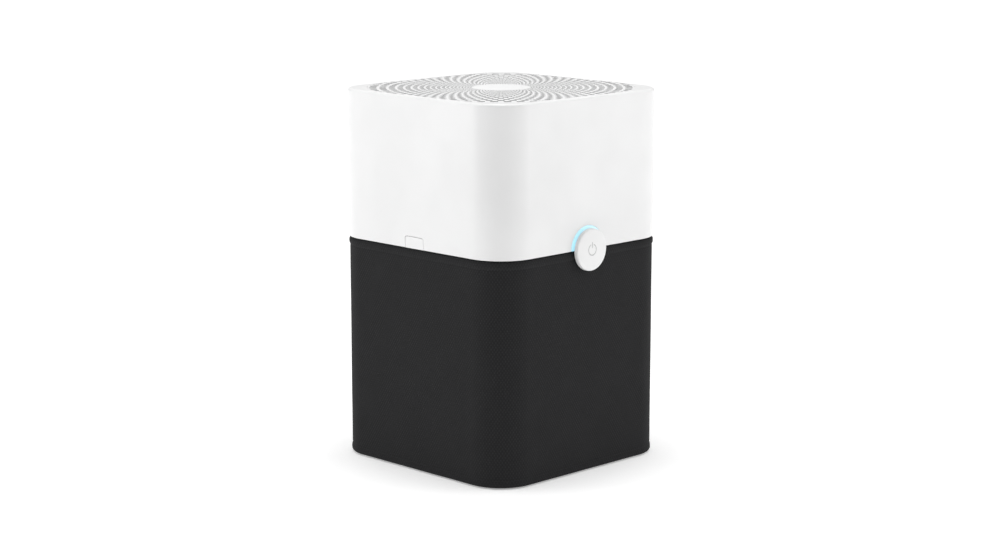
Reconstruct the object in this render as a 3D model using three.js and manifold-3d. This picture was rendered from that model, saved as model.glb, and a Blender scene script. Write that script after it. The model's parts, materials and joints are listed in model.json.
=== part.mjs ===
// Free-standing room air purifier: a white fan head that stands on a filter base dressed in a fabric
// pre-filter. Millimetres, +Z up, origin on the floor under the middle, front (the button side) at -Y.
import * as THREE from "three";
import { mergeVertices } from "three/addons/utils/BufferGeometryUtils.js";
import Module from "manifold-3d";

const wasm = await Module();
wasm.setup();

// ---- driving dimensions ----------------------------------------------------------------------
const HEIGHT = 518; // floor to top plate
const HALF = 166; // half the width and depth of the white head
const CORNER = 54; // its vertical corner radius
const SEAM = 311; // lower edge of the white head
const FOOT = 3; // what the rubber feet lift the base by
const WALL = 2.8; // moulded shell wall
const GAP = 0.3; // clearance between pieces that touch
const BUTTON_RADIUS = 29;
const DUCT_RADIUS = 131; // bore of the round fan duct
const FILTER_HALF = 150; // half the width of the filter cartridge
const TURN = 2 * Math.PI;
const ROUND = 36; // sides of a large circle
const SMALL_ROUND = 24; // sides of a middling circle
const FINE_ROUND = 12; // sides of a screw or a hole for one
const CORNER_STEPS = 4; // EllipseCurve spans per rounded corner

// ---- finishes --------------------------------------------------------------------------------
const plastic = (color, roughness) =>
  new THREE.MeshStandardMaterial({ color, roughness, metalness: 0 });
const metal = (color, roughness) =>
  new THREE.MeshStandardMaterial({ color, roughness, metalness: 1 });
const finish = {
  whiteShell: plastic(0xf1f1f0, 0.35),
  blackFrame: plastic(0x1d1d1e, 0.55),
  fabric: plastic(0x2e2e2e, 0.9),
  light: plastic(0xc4f0fb, 0.3),
  rubber: plastic(0x161616, 0.8),
  filterPaper: plastic(0xe9e7df, 0.9),
  carbon: plastic(0x2a2a2b, 0.9),
  foam: plastic(0x3a3a3c, 0.95),
  fan: plastic(0x2b2c2e, 0.45),
  steel: metal(0xb9bbbd, 0.35),
  zinc: metal(0x9ea2a5, 0.45),
  copper: metal(0xb06a3c, 0.4),
  board: plastic(0x1f5a35, 0.5),
  led: plastic(0xd9ecf5, 0.3),
};

// ---- solids ----------------------------------------------------------------------------------
// A closed three.js geometry as a manifold solid.
function solid(geometry) {
  const loose = geometry.index ? geometry.toNonIndexed() : geometry;
  const bare = new THREE.BufferGeometry();
  bare.setAttribute("position", loose.getAttribute("position"));
  const merged = mergeVertices(bare, 1e-4);
  return new wasm.Manifold(
    new wasm.Mesh({
      numProp: 3,
      vertProperties: merged.attributes.position.array,
      triVerts: new Uint32Array(merged.index.array),
    }),
  );
}

function geometryOf(body) {
  const mesh = body.getMesh();
  const geometry = new THREE.BufferGeometry();
  geometry.setAttribute("position", new THREE.BufferAttribute(mesh.vertProperties, 3));
  geometry.setIndex(new THREE.BufferAttribute(mesh.triVerts, 1));
  geometry.computeVertexNormals();
  return geometry;
}

function piece(name, body, material) {
  const geometry = body.isBufferGeometry ? body : geometryOf(body);
  const mesh = new THREE.Mesh(geometry, material);
  mesh.name = name;
  return mesh;
}

function group(...members) {
  const gathered = new THREE.Group();
  members.forEach((member) => gathered.add(member));
  return gathered;
}

const joined = (bodies) => bodies.reduce((sum, body) => sum.add(body));

function roundedRectangle(halfX, halfY, radius) {
  const x = halfX - radius;
  const y = halfY - radius;
  const shape = new THREE.Shape();
  shape.absarc(x, y, radius, 0, TURN / 4);
  shape.absarc(-x, y, radius, TURN / 4, TURN / 2);
  shape.absarc(-x, -y, radius, TURN / 2, (3 * TURN) / 4);
  shape.absarc(x, -y, radius, (3 * TURN) / 4, TURN);
  return shape.closePath() ?? shape;
}

const roundedSquare = (half, radius) => roundedRectangle(half, half, radius);

// A flat shape raised from one height to another.
function raise(shape, bottom, top, curveSegments = CORNER_STEPS) {
  const raised = new THREE.ExtrudeGeometry(shape, {
    depth: top - bottom,
    bevelEnabled: false,
    curveSegments,
  });
  return solid(raised.translate(0, 0, bottom));
}

const squareBlock = (half, radius, bottom, top) => raise(roundedSquare(half, radius), bottom, top);

// A square band whose corners keep the same centre inside and out.
function squareBand(half, radius, thickness, bottom, top) {
  const inner = squareBlock(half - thickness, Math.max(radius - thickness, 2), bottom - 1, top + 1);
  return squareBlock(half, radius, bottom, top).subtract(inner);
}

function box(sizeX, sizeY, bottom, top, x = 0, y = 0) {
  const block = new THREE.BoxGeometry(sizeX, sizeY, top - bottom);
  return solid(block.translate(x, y, (bottom + top) / 2));
}

function disc(radius, bottom, top, x = 0, y = 0, sides = SMALL_ROUND) {
  const round = new THREE.CylinderGeometry(radius, radius, top - bottom, sides);
  return solid(round.rotateX(Math.PI / 2).translate(x, y, (bottom + top) / 2));
}

function tube(outer, inner, bottom, top, sides = ROUND) {
  return disc(outer, bottom, top, 0, 0, sides).subtract(
    disc(inner, bottom - 1, top + 1, 0, 0, sides),
  );
}

// A solid through stacked rounded squares: levels of [height, half width, corner radius].
function stackedSquares(levels) {
  const loops = levels.map(([z, half, radius]) =>
    roundedSquare(half, radius)
      .extractPoints(CORNER_STEPS)
      .shape.slice(0, -1)
      .map((p) => [p.x, p.y, z]),
  );
  const count = loops[0].length;
  const points = [...loops.flat(), [0, 0, levels[0][0]], [0, 0, levels.at(-1)[0]]];
  const faces = [];
  const lastLoop = (loops.length - 1) * count;
  const [under, over] = [points.length - 2, points.length - 1];
  for (let i = 0; i < count; i++) {
    const next = (i + 1) % count;
    for (let loop = 0; loop < loops.length - 1; loop++) {
      const low = loop * count;
      const high = low + count;
      faces.push([low + i, low + next, high + next], [low + i, high + next, high + i]);
    }
    faces.push([under, next, i], [over, lastLoop + i, lastLoop + next]);
  }
  return solidFrom(points, faces);
}

function solidFrom(points, faces) {
  const geometry = new THREE.BufferGeometry();
  geometry.setAttribute("position", new THREE.Float32BufferAttribute(points.flat(), 3));
  geometry.setIndex(faces.flat());
  return solid(geometry);
}

// A thick curved sheet: at(u, v) gives its middle surface, for u and v from 0 to 1.
function sheet(at, spansU, spansV, thickness) {
  const front = [];
  const back = [];
  const step = 1e-3;
  for (let i = 0; i <= spansU; i++) {
    for (let j = 0; j <= spansV; j++) {
      const [u, v] = [i / spansU, j / spansV];
      const here = at(u, v);
      const alongU = at(u + step, v).sub(here);
      const alongV = at(u, v + step).sub(here);
      const normal = alongU.cross(alongV).normalize().multiplyScalar(thickness / 2);
      front.push(here.clone().add(normal).toArray());
      back.push(here.clone().sub(normal).toArray());
    }
  }
  const row = spansV + 1;
  const offset = front.length;
  const faces = [];
  const quad = (a, b, c, d) => faces.push([a, b, c], [a, c, d]);
  for (let i = 0; i < spansU; i++) {
    for (let j = 0; j < spansV; j++) {
      const a = i * row + j;
      quad(a, a + row, a + row + 1, a + 1);
      quad(offset + a, offset + a + 1, offset + a + row + 1, offset + a + row);
    }
    const low = i * row;
    const high = low + spansV;
    quad(low, offset + low, offset + low + row, low + row);
    quad(high, high + row, offset + high + row, offset + high);
  }
  for (let j = 0; j < spansV; j++) {
    const far = spansU * row + j;
    quad(j, j + 1, offset + j + 1, offset + j);
    quad(far, offset + far, offset + far + 1, far + 1);
  }
  return solidFrom([...front, ...back], faces);
}

class Helix extends THREE.Curve {
  constructor(radius, start, end, turns) {
    super();
    Object.assign(this, { radius, start, end, turns });
  }
  getPoint(t, target = new THREE.Vector3()) {
    const angle = TURN * this.turns * t;
    const height = this.start + (this.end - this.start) * t;
    return target.set(this.radius * Math.cos(angle), this.radius * Math.sin(angle), height);
  }
}

// A coil spring about the local Z axis, ending within start and end.
function coil(radius, wire, start, end, turns) {
  const section = new THREE.Shape().absarc(0, 0, wire, 0, TURN);
  const geometry = new THREE.ExtrudeGeometry(section, {
    steps: Math.round(turns * 7),
    extrudePath: new Helix(radius, start + wire, end - wire, turns),
    curveSegments: 3,
  });
  return solid(geometry);
}

// Turns a group built with its local Z pointing outwards, so that it faces a side of the body:
// 0 is the front (-Y), -1 the left (-X), 1 the right (+X) and 2 the back (+Y).
function onSide(side, height, ...members) {
  const placed = group(...members);
  const angle = (side * TURN) / 4;
  placed.rotation.order = "ZYX";
  placed.rotation.set(Math.PI / 2, 0, angle);
  placed.position.set(HALF * Math.sin(angle), -HALF * Math.cos(angle), height);
  return placed;
}

// ---- base: tray, cage, feet ------------------------------------------------------------------
const SLEEVE_INNER = 163.6; // the fabric's inner face, which the tray and cage stay inside
const BASE_HALF = SLEEVE_INNER - GAP;
const BASE_CORNER = CORNER - (HALF - BASE_HALF);
const TRAY_TOP = 26;
const TRAY_FLOOR = 7;
const TRAY_WALL = 3.5;
const RIM_BOTTOM = 296;
const RIM_TOP = 310;
const RIM_WIDTH = 10.3;
const POST_DEPTH = 5;
const POST_REACH = 40; // how far a corner post runs along each side
const STILE_WIDTH = 12;
const STILE_AT = 56; // a stile's distance from the middle of its side
const FOOT_AT = 120;
const FOOT_RADIUS = 11;
const FOOT_SIDES = 16;
const RECESS_DEPTH = 1.5;
const CORNERS = [
  ["front_left", -1, -1],
  ["front_right", 1, -1],
  ["back_right", 1, 1],
  ["back_left", -1, 1],
];
const LATCH_ARM_WIDTH = 24;
const CATCH_FACE = HALF - 4; // outer face of the slot that the latch hook drops through

function baseTray() {
  const inner = BASE_HALF - TRAY_WALL;
  let tray = squareBlock(BASE_HALF, BASE_CORNER, FOOT, TRAY_TOP).subtract(
    squareBlock(inner, BASE_CORNER - TRAY_WALL, TRAY_FLOOR, TRAY_TOP + 1),
  );
  for (const [, sx, sy] of CORNERS) {
    const [x, y] = [sx * FOOT_AT, sy * FOOT_AT];
    const recess = disc(FOOT_RADIUS + GAP, 0, FOOT + RECESS_DEPTH, x, y, FOOT_SIDES);
    tray = tray.subtract(recess);
  }
  return tray;
}

function cageRim() {
  let rim = squareBand(BASE_HALF, BASE_CORNER, RIM_WIDTH, RIM_BOTTOM, RIM_TOP);
  const width = LATCH_ARM_WIDTH + 4;
  const inner = BASE_HALF - RIM_WIDTH - 1;
  for (const side of [-1, 1]) {
    const slotMiddle = (side * (CATCH_FACE + inner)) / 2;
    const slot = box(CATCH_FACE - inner, width, RIM_BOTTOM - 1, RIM_TOP + 1, slotMiddle);
    const pocket = box(2 * BASE_HALF, width, RIM_BOTTOM + 2, RIM_BOTTOM + 8.5, side * 200);
    rim = rim.subtract(slot).subtract(pocket.intersect(box(400, width, 0, 400)));
  }
  return rim;
}

const POST_BOTTOM = TRAY_TOP + GAP;
const POST_TOP = RIM_BOTTOM - GAP;

function cornerPost(sx, sy) {
  const size = POST_REACH;
  const at = BASE_HALF - size / 2 + 1;
  const corner = box(size, size, POST_BOTTOM, POST_TOP, sx * at, sy * at);
  return squareBand(BASE_HALF, BASE_CORNER, POST_DEPTH, POST_BOTTOM, POST_TOP).intersect(corner);
}

function cage() {
  const posts = CORNERS.map(([where, sx, sy]) =>
    piece(`cage_post_${where}`, cornerPost(sx, sy), finish.blackFrame),
  );
  const depthAt = BASE_HALF - POST_DEPTH / 2;
  const stiles = [
    ["front", 0, -depthAt, STILE_WIDTH, POST_DEPTH],
    ["back", 0, depthAt, STILE_WIDTH, POST_DEPTH],
    ["left", -depthAt, 0, POST_DEPTH, STILE_WIDTH],
    ["right", depthAt, 0, POST_DEPTH, STILE_WIDTH],
  ].map(([where, x, y, sizeX, sizeY]) =>
    piece(`cage_stile_${where}`, box(sizeX, sizeY, POST_BOTTOM, POST_TOP, x, y), finish.blackFrame),
  );
  return group(piece("cage_rim", cageRim(), finish.blackFrame), ...posts, ...stiles);
}

function feet() {
  return CORNERS.map(([where, sx, sy]) => {
    const [x, y] = [sx * FOOT_AT, sy * FOOT_AT];
    const foot = disc(FOOT_RADIUS, 0, FOOT + RECESS_DEPTH - GAP, x, y, FOOT_SIDES);
    return piece(`foot_${where}`, foot, finish.rubber);
  });
}

function base() {
  return group(piece("base_tray", baseTray(), finish.blackFrame), cage(), ...feet());
}

// ---- fabric pre-filter sleeve ----------------------------------------------------------------
const SLEEVE_OUTER = 165.5;
const HEM_TOP_OUTER = 166.7;
const HEM_BOTTOM_OUTER = 166.3;
const HEM = 10; // height of each elastic hem
const SLEEVE_BOTTOM = FOOT + 0.7;

function fabricBand(outer, bottom, top) {
  const corner = CORNER - (HALF - outer);
  return squareBand(outer, corner, outer - SLEEVE_INNER, bottom, top);
}

function preFilter() {
  const hemTop = fabricBand(HEM_TOP_OUTER, RIM_TOP - HEM, RIM_TOP);
  const body = fabricBand(SLEEVE_OUTER, SLEEVE_BOTTOM + HEM + GAP, RIM_TOP - HEM - GAP);
  const hemBottom = fabricBand(HEM_BOTTOM_OUTER, SLEEVE_BOTTOM, SLEEVE_BOTTOM + HEM);
  return group(
    piece("prefilter_hem_top", hemTop, finish.fabric),
    piece("prefilter_sleeve", body, finish.fabric),
    piece("prefilter_hem_bottom", hemBottom, finish.fabric),
  );
}

// ---- filter cartridge ------------------------------------------------------------------------
const FILTER_CORNER = 40;
const FILTER_FRAME = 5; // thickness of the end frames
const FILTER_BOTTOM = TRAY_FLOOR + GAP;
const FILTER_TOP = 300;
const PLEAT_DEPTH = 38;
const WRAP = 2; // carbon sheet round the pleats

function filterCartridge() {
  const mediaBottom = FILTER_BOTTOM + FILTER_FRAME + GAP;
  const mediaTop = FILTER_TOP - FILTER_FRAME - GAP;
  const wrapHalf = FILTER_HALF - 1;
  const mediaHalf = wrapHalf - WRAP - GAP;
  const mediaCorner = FILTER_CORNER - WRAP - GAP;
  const gasket = squareBand(146, 36, 14, FILTER_TOP + GAP, RIM_TOP);
  const frameWidth = FILTER_HALF - mediaHalf + PLEAT_DEPTH + 2;
  const frameTop = squareBand(
    FILTER_HALF,
    FILTER_CORNER,
    frameWidth,
    mediaTop + GAP,
    FILTER_TOP,
  );
  const tab = raise(roundedRectangle(15, 36, 6), FILTER_TOP + GAP, FILTER_TOP + 1.8);
  return group(
    piece(
      "filter_frame_bottom",
      squareBlock(FILTER_HALF, FILTER_CORNER, FILTER_BOTTOM, mediaBottom - GAP),
      finish.whiteShell,
    ),
    piece(
      "filter_media",
      squareBand(mediaHalf, mediaCorner, PLEAT_DEPTH, mediaBottom, mediaTop),
      finish.filterPaper,
    ),
    piece(
      "filter_carbon_wrap",
      squareBand(wrapHalf, FILTER_CORNER - 1, WRAP, mediaBottom, mediaTop),
      finish.carbon,
    ),
    piece("filter_frame_top", frameTop, finish.whiteShell),
    piece("filter_gasket", gasket, finish.foam),
    piece("filter_pull_tab", tab.translate(0, -95, 0), finish.fabric),
  );
}

// ---- head: shell and grille ------------------------------------------------------------------
const TOP_PLATE = 4; // thickness of the head's top border
const GRILLE_HALF = 160; // the rounded opening in the top border
const GRILLE_CORNER = 98;
const FLANGE = 3.5; // the grille's flange under the border
const LATCH_WIDTH = 35.5;
const LATCH_HEIGHT = 15.8;
const GLAND_AT = [100, 335]; // across the back, and up
const GLAND_NECK = 6;
const INNER_HALF = HALF - WALL;

function latchOutline(halfWidth, height, radius) {
  const shape = new THREE.Shape();
  shape.moveTo(-halfWidth, 0);
  shape.lineTo(halfWidth, 0);
  shape.absarc(halfWidth - radius, height - radius, radius, 0, TURN / 4);
  shape.absarc(-halfWidth + radius, height - radius, radius, TURN / 4, TURN / 2);
  return shape;
}

// Moves a solid built in the outward-facing frame of a side into the body's frame.
function placedOnSide(side, height, body) {
  const placed = onSide(side, height);
  placed.updateMatrixWorld(true);
  return body.transform(placed.matrixWorld.toArray());
}

function glandDisc(radius, back, front) {
  return disc(radius, back, front, -GLAND_AT[0], GLAND_AT[1] - SEAM, 16);
}

function headShell() {
  const outer = stackedSquares([
    [SEAM, HALF - 0.8, CORNER - 0.8],
    [SEAM + 0.8, HALF, CORNER],
    [HEIGHT - 4, HALF, CORNER],
    [HEIGHT - 1.4, HALF - 0.9, CORNER - 0.9],
    [HEIGHT - 0.4, HALF - 2.2, CORNER - 2.2],
    [HEIGHT, HALF - 4, CORNER - 4],
  ]);
  const cavity = squareBlock(INNER_HALF, CORNER - WALL, SEAM - 1, HEIGHT - TOP_PLATE);
  const opening = squareBlock(GRILLE_HALF, GRILLE_CORNER, HEIGHT - TOP_PLATE - 1, HEIGHT + 1);
  const notch = disc(BUTTON_RADIUS + 3.7, -WALL - 2, 2);
  const latchSlot = raise(latchOutline(LATCH_WIDTH / 2 + 0.5, LATCH_HEIGHT + 0.5, 3), -WALL - 1, 1);
  const hole = glandDisc(GLAND_NECK + GAP, -WALL - 1, 1);
  return outer
    .subtract(cavity)
    .subtract(opening)
    .subtract(placedOnSide(0, SEAM, notch))
    .subtract(placedOnSide(-1, SEAM - 0.1, latchSlot))
    .subtract(placedOnSide(1, SEAM - 0.1, latchSlot))
    .subtract(placedOnSide(2, SEAM, hole));
}

// Rings of slots that grow outwards in a constant ratio, each ring half a slot round from the last.
const SLOTS = 16;
const SLOT_RINGS = 5;
const RING_RATIO = 1.33;
const OUTER_RING = 178;
const SLOT_SHARE = 0.6; // of the pitch round the ring
const RING_SHARE = 0.75; // of the pitch across the rings

function slotPrism(inner, outer, angle, halfAngle, bottom, top) {
  const shape = new THREE.Shape();
  shape.moveTo(inner * Math.cos(angle - halfAngle), inner * Math.sin(angle - halfAngle));
  shape.lineTo(outer * Math.cos(angle - halfAngle), outer * Math.sin(angle - halfAngle));
  shape.lineTo(outer * Math.cos(angle + halfAngle), outer * Math.sin(angle + halfAngle));
  shape.lineTo(inner * Math.cos(angle + halfAngle), inner * Math.sin(angle + halfAngle));
  return raise(shape, bottom, top);
}

function topGrille() {
  const bottom = HEIGHT - TOP_PLATE - FLANGE - GAP;
  const insert = squareBlock(GRILLE_HALF - GAP, GRILLE_CORNER - GAP, bottom, HEIGHT - 0.2);
  const flangeTop = HEIGHT - TOP_PLATE - GAP;
  const flange = squareBlock(INNER_HALF - 1, CORNER - WALL - 1, bottom, flangeTop);
  const field = squareBlock(GRILLE_HALF - 3, GRILLE_CORNER - 3, bottom - 2, HEIGHT + 2);
  const slots = [];
  const pitch = TURN / SLOTS;
  for (let ring = 0; ring < SLOT_RINGS; ring++) {
    const outer = OUTER_RING / RING_RATIO ** ring;
    const inner = outer * (1 - RING_SHARE * (1 - 1 / RING_RATIO));
    for (let i = 0; i < SLOTS; i++) {
      const angle = (i + (ring % 2) / 2) * pitch;
      const slot = slotPrism(inner, outer, angle, (pitch * SLOT_SHARE) / 2, bottom - 1, HEIGHT + 1);
      slots.push(slot);
    }
  }
  return insert.add(flange).subtract(joined(slots).intersect(field));
}

// ---- head: intake plate, guard and fan frame -------------------------------------------------
const INTAKE_BOTTOM = RIM_TOP + GAP;
const INTAKE_TOP = 315;
const INTAKE_HALF = INNER_HALF - 0.6;
const INTAKE_BORE = 125;
const SCREW_AT = 132;
const SCREW_HEAD = 4.2;
const SCREW_SHANK = 2;
const FRAME_BOTTOM = INTAKE_TOP + GAP;
const FRAME_TOP = 318;
const DUCT_TOP = 486;
const DUCT_WALL = 3;
const LATCH_NOTCH = 39; // clears the latch tab when it is pressed in

function intakePlate() {
  const corner = CORNER - (HALF - INTAKE_HALF);
  let plate = squareBlock(INTAKE_HALF, corner, INTAKE_BOTTOM, INTAKE_TOP);
  plate = plate.subtract(disc(INTAKE_BORE, 300, 320, 0, 0, ROUND));
  for (const [, sx, sy] of CORNERS) {
    const [x, y] = [sx * SCREW_AT, sy * SCREW_AT];
    plate = plate.subtract(disc(SCREW_SHANK + GAP, 300, 320, x, y, FINE_ROUND));
    plate = plate.subtract(disc(SCREW_HEAD + GAP, 300, INTAKE_BOTTOM + 2.7, x, y, FINE_ROUND));
  }
  for (const side of [-1, 1]) {
    plate = plate.subtract(box(12, LATCH_NOTCH, 300, 320, side * (HALF - 8.4)));
  }
  return plate;
}

const GUARD_RING = 82;
const GUARD_HUB = 36;
const GUARD_SPOKES = 6;
const GUARD_RIB = 3;

function intakeGuard() {
  const [bottom, top] = [INTAKE_BOTTOM + 0.4, INTAKE_TOP - 0.4];
  const rim = INTAKE_BORE - GAP;
  const ring = tube(GUARD_RING, GUARD_RING - GUARD_RIB, bottom, top, SMALL_ROUND);
  const spokes = Array.from({ length: GUARD_SPOKES / 2 }, (_, index) =>
    box(2 * rim - GUARD_RIB, GUARD_RIB, bottom, top).rotate([0, 0, (360 * index) / GUARD_SPOKES]),
  );
  const hub = disc(GUARD_HUB, bottom, top);
  return joined([tube(rim, rim - GUARD_RIB, bottom, top), hub, ring, ...spokes]);
}

function fanFrame() {
  const corner = CORNER - (HALF - INTAKE_HALF);
  let frame = squareBlock(INTAKE_HALF, corner, FRAME_BOTTOM, FRAME_TOP);
  frame = frame.add(disc(DUCT_RADIUS + DUCT_WALL, FRAME_BOTTOM, DUCT_TOP, 0, 0, ROUND));
  frame = frame.subtract(disc(DUCT_RADIUS, 300, 500, 0, 0, ROUND));
  for (const [, sx, sy] of CORNERS) {
    const [x, y] = [sx * SCREW_AT, sy * SCREW_AT];
    frame = frame.add(disc(6, FRAME_BOTTOM, 334, x, y, FINE_ROUND));
    frame = frame.subtract(disc(SCREW_SHANK + GAP, 300, 332, x, y, FINE_ROUND));
  }
  for (const side of [-1, 1]) {
    frame = frame.subtract(box(24, LATCH_NOTCH, 300, 340, side * (HALF - 13)));
    frame = frame.add(box(3, 14, FRAME_BOTTOM, 327, side * (HALF - 26.6)));
  }
  return frame.subtract(box(80, 24, 300, 340, 0, -HALF + 8));
}

function frameScrews() {
  return CORNERS.map(([where, sx, sy]) => {
    const [x, y] = [sx * SCREW_AT, sy * SCREW_AT];
    const head = disc(SCREW_HEAD, INTAKE_BOTTOM + 0.2, INTAKE_BOTTOM + 2.4, x, y, FINE_ROUND);
    const shank = disc(SCREW_SHANK, INTAKE_BOTTOM + 2, 329, x, y, FINE_ROUND);
    return piece(`frame_screw_${where}`, head.add(shank), finish.zinc);
  });
}

// ---- head: motor and fan ---------------------------------------------------------------------
const CAN_RADIUS = 40;
const CAN_BOTTOM = 385;
const CAN_TOP = 444;
const CAN_WALL = 1.8;
const SHAFT_RADIUS = 4;
const BORE = SHAFT_RADIUS + GAP;
const SEAT = 8.3; // bearing seat radius
const HUB_RADIUS = 50;
const HUB_BOTTOM = 350;
const HUB_TOP = 412;
const BLADES = 7;
const BLADE_TIP = DUCT_RADIUS - 4.5;
const VANES = 7;

function motorCan() {
  const shell = disc(CAN_RADIUS, CAN_BOTTOM, CAN_TOP, 0, 0, SMALL_ROUND);
  const hollow = disc(CAN_RADIUS - CAN_WALL, CAN_BOTTOM + 3, CAN_TOP + 1, 0, 0, SMALL_ROUND);
  return shell.subtract(hollow).subtract(disc(SEAT, 380, 450));
}

const bearing = (bottom) => tube(SEAT - GAP, BORE, bottom, bottom + 4.8, SMALL_ROUND);

function motor() {
  const capBottom = CAN_TOP - 4;
  const capRadius = CAN_RADIUS - CAN_WALL - GAP;
  return group(
    piece("motor_can", motorCan(), finish.zinc),
    piece("motor_end_cap", tube(capRadius, SEAT, capBottom, CAN_TOP, SMALL_ROUND), finish.zinc),
    piece("motor_stator", tube(capRadius - 0.4, 23, 398, 430, SMALL_ROUND), finish.copper),
    piece("bearing_lower", bearing(CAN_BOTTOM + 0.2), finish.steel),
    piece("bearing_upper", bearing(CAN_TOP - 5), finish.steel),
  );
}

const CUP_OUTER = CAN_RADIUS + 4;
const HUB_RING = 2.6; // wall of the ring that the vanes stand on

// The cup that the motor hangs in, open above the plate so that its screws can be reached.
function motorCup() {
  const wall = tube(CUP_OUTER, CAN_RADIUS + 1.2, 425, 480, SMALL_ROUND);
  return wall.add(tube(CUP_OUTER - 1, 12, CAN_TOP + GAP, CAN_TOP + 3.3, SMALL_ROUND));
}

// The stationary guide vanes between a ring in the duct and a ring round the cup.
function guideVanes() {
  const ring = tube(DUCT_RADIUS - GAP, DUCT_RADIUS - 3.5, 440, 484);
  const inner = CUP_OUTER + GAP;
  const hub = tube(inner + HUB_RING, inner, 440, 480, SMALL_ROUND);
  const vane = (index) =>
    sheet(
      (u, v) => {
        const root = inner + HUB_RING - 1;
        const radius = root + (DUCT_RADIUS - 2 - root) * u;
        const lean = 0.16 * (1 - v) ** 2 + 0.1 * u;
        const angle = (index / VANES) * TURN + lean;
        const height = 444 + 34 * v;
        return new THREE.Vector3(radius * Math.cos(angle), radius * Math.sin(angle), height);
      },
      2,
      1,
      2.4,
    );
  const vanes = Array.from({ length: VANES }, (_, index) => vane(index));
  return joined([ring, hub, ...vanes]);
}

function impeller() {
  const hub = disc(HUB_RADIUS, HUB_BOTTOM, HUB_TOP, 0, 0, SMALL_ROUND);
  const hollow = disc(HUB_RADIUS - 3, HUB_BOTTOM + 3, HUB_TOP + 1, 0, 0, SMALL_ROUND);
  const boss = disc(10, HUB_BOTTOM, 380);
  const blade = (index) =>
    sheet(
      (u, v) => {
        const radius = HUB_RADIUS - 1.5 + (BLADE_TIP - HUB_RADIUS + 1.5) * u;
        const chord = 0.95 - 0.28 * u; // angle that the blade spans
        const rise = 50 - 12 * u;
        const camber = 0.05 * Math.sin(Math.PI * v);
        const angle = (index / BLADES) * TURN - chord * (v - 0.5) + camber + 0.22 * u * u;
        const height = (HUB_BOTTOM + HUB_TOP) / 2 + rise * (v - 0.5);
        return new THREE.Vector3(radius * Math.cos(angle), radius * Math.sin(angle), height);
      },
      3,
      3,
      2.4,
    );
  const blades = Array.from({ length: BLADES }, (_, index) => blade(index));
  const bore = disc(BORE, HUB_BOTTOM - 1, 390);
  return joined([hub.subtract(hollow), boss, ...blades]).subtract(bore);
}

function rotor() {
  const nut = disc(7.5, HUB_BOTTOM - 7, HUB_BOTTOM - GAP, 0, 0, 6).subtract(
    disc(BORE, HUB_BOTTOM - 8, HUB_BOTTOM),
  );
  return group(
    piece("impeller", impeller(), finish.fan),
    piece("motor_shaft", disc(SHAFT_RADIUS, HUB_BOTTOM - 9, CAN_TOP + 1), finish.steel),
    piece("motor_rotor", tube(22, BORE, 400, 428, SMALL_ROUND), finish.zinc),
    piece("impeller_nut", nut, finish.zinc),
  );
}

// ---- head: button, light and their board -----------------------------------------------------
// Built about the button's centre with local X to the right, Y up and Z outwards from the shell.
const PLUNGER_UP = 14; // the plunger's height above the button's centre
const CAP_BACK = 2.3; // leaves room for the press in front of the hem
const CAP_FRONT = 9;
const POD_FRONT = 3.2;

function upperHalfDisc(radius, cut, back, front) {
  return disc(radius, back, front).intersect(
    box(2 * radius + 2, radius + 2, back - 1, front + 1, 0, cut + (radius + 2) / 2),
  );
}

function buttonPod() {
  const plate = disc(BUTTON_RADIUS - 2.6, 1, POD_FRONT);
  const stem = upperHalfDisc(23.9, 5, -6, 1.5);
  const bracket = upperHalfDisc(38, 5, -6, -WALL - 0.4);
  const posts = [-22, 22].map((x) => disc(2.2, -13.7, -5, x, 12, FINE_ROUND));
  const guide = disc(2.8, -10, 10, 0, PLUNGER_UP, FINE_ROUND);
  return joined([plate, stem, bracket, ...posts]).subtract(guide);
}

// A half ring that fills the notch in the shell, behind the cap's edge.
function lightRing() {
  const shape = new THREE.Shape();
  shape.absarc(0, 0, BUTTON_RADIUS + 3, 0.01, TURN / 2 - 0.01, false);
  shape.absarc(0, 0, 24.3, TURN / 2 - 0.01, 0.01, true);
  return raise(shape, -WALL + 0.2, 0, 10);
}

function buttonCap() {
  const profile = [
    [0, CAP_FRONT - 2.6],
    [BUTTON_RADIUS - 2.2, CAP_FRONT - 2.6],
    [BUTTON_RADIUS - 2.2, CAP_BACK],
    [BUTTON_RADIUS, CAP_BACK],
    [BUTTON_RADIUS, CAP_FRONT - 1.8],
    [BUTTON_RADIUS - 1.8, CAP_FRONT],
    [0, CAP_FRONT],
  ].map(([radius, height]) => new THREE.Vector2(radius, height));
  const cap = solid(new THREE.LatheGeometry(profile, ROUND).rotateX(Math.PI / 2));
  const plunger = disc(2.4, -8.7, CAP_FRONT - 1, 0, PLUNGER_UP, FINE_ROUND);
  return cap.add(plunger);
}

function button() {
  const spring = coil(4.6, 0.45, POD_FRONT + 0.3, CAP_FRONT - 2.9, 1.8);
  return onSide(
    0,
    SEAM,
    piece("button_cap", buttonCap(), finish.whiteShell),
    piece("button_spring", spring.translate(0, PLUNGER_UP, 0), finish.steel),
  );
}

function buttonSupport() {
  const board = box(56, 34, -15.6, -14, 0, 22);
  const led = (x) => box(3.4, 2.8, -13.7, -12.4, x, 24);
  return onSide(
    0,
    SEAM,
    piece("button_pod", buttonPod(), finish.whiteShell),
    piece("light_ring", lightRing().translate(0, 0.3, 0), finish.light),
    piece("button_board", board, finish.board),
    piece("tact_switch", box(6, 6, -13.7, -10.2, 0, PLUNGER_UP), finish.blackFrame),
    piece("led_left", led(-17), finish.led),
    piece("led_right", led(17), finish.led),
  );
}

// ---- head: latches ---------------------------------------------------------------------------
const LATCH_FACE = 2.6;

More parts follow.
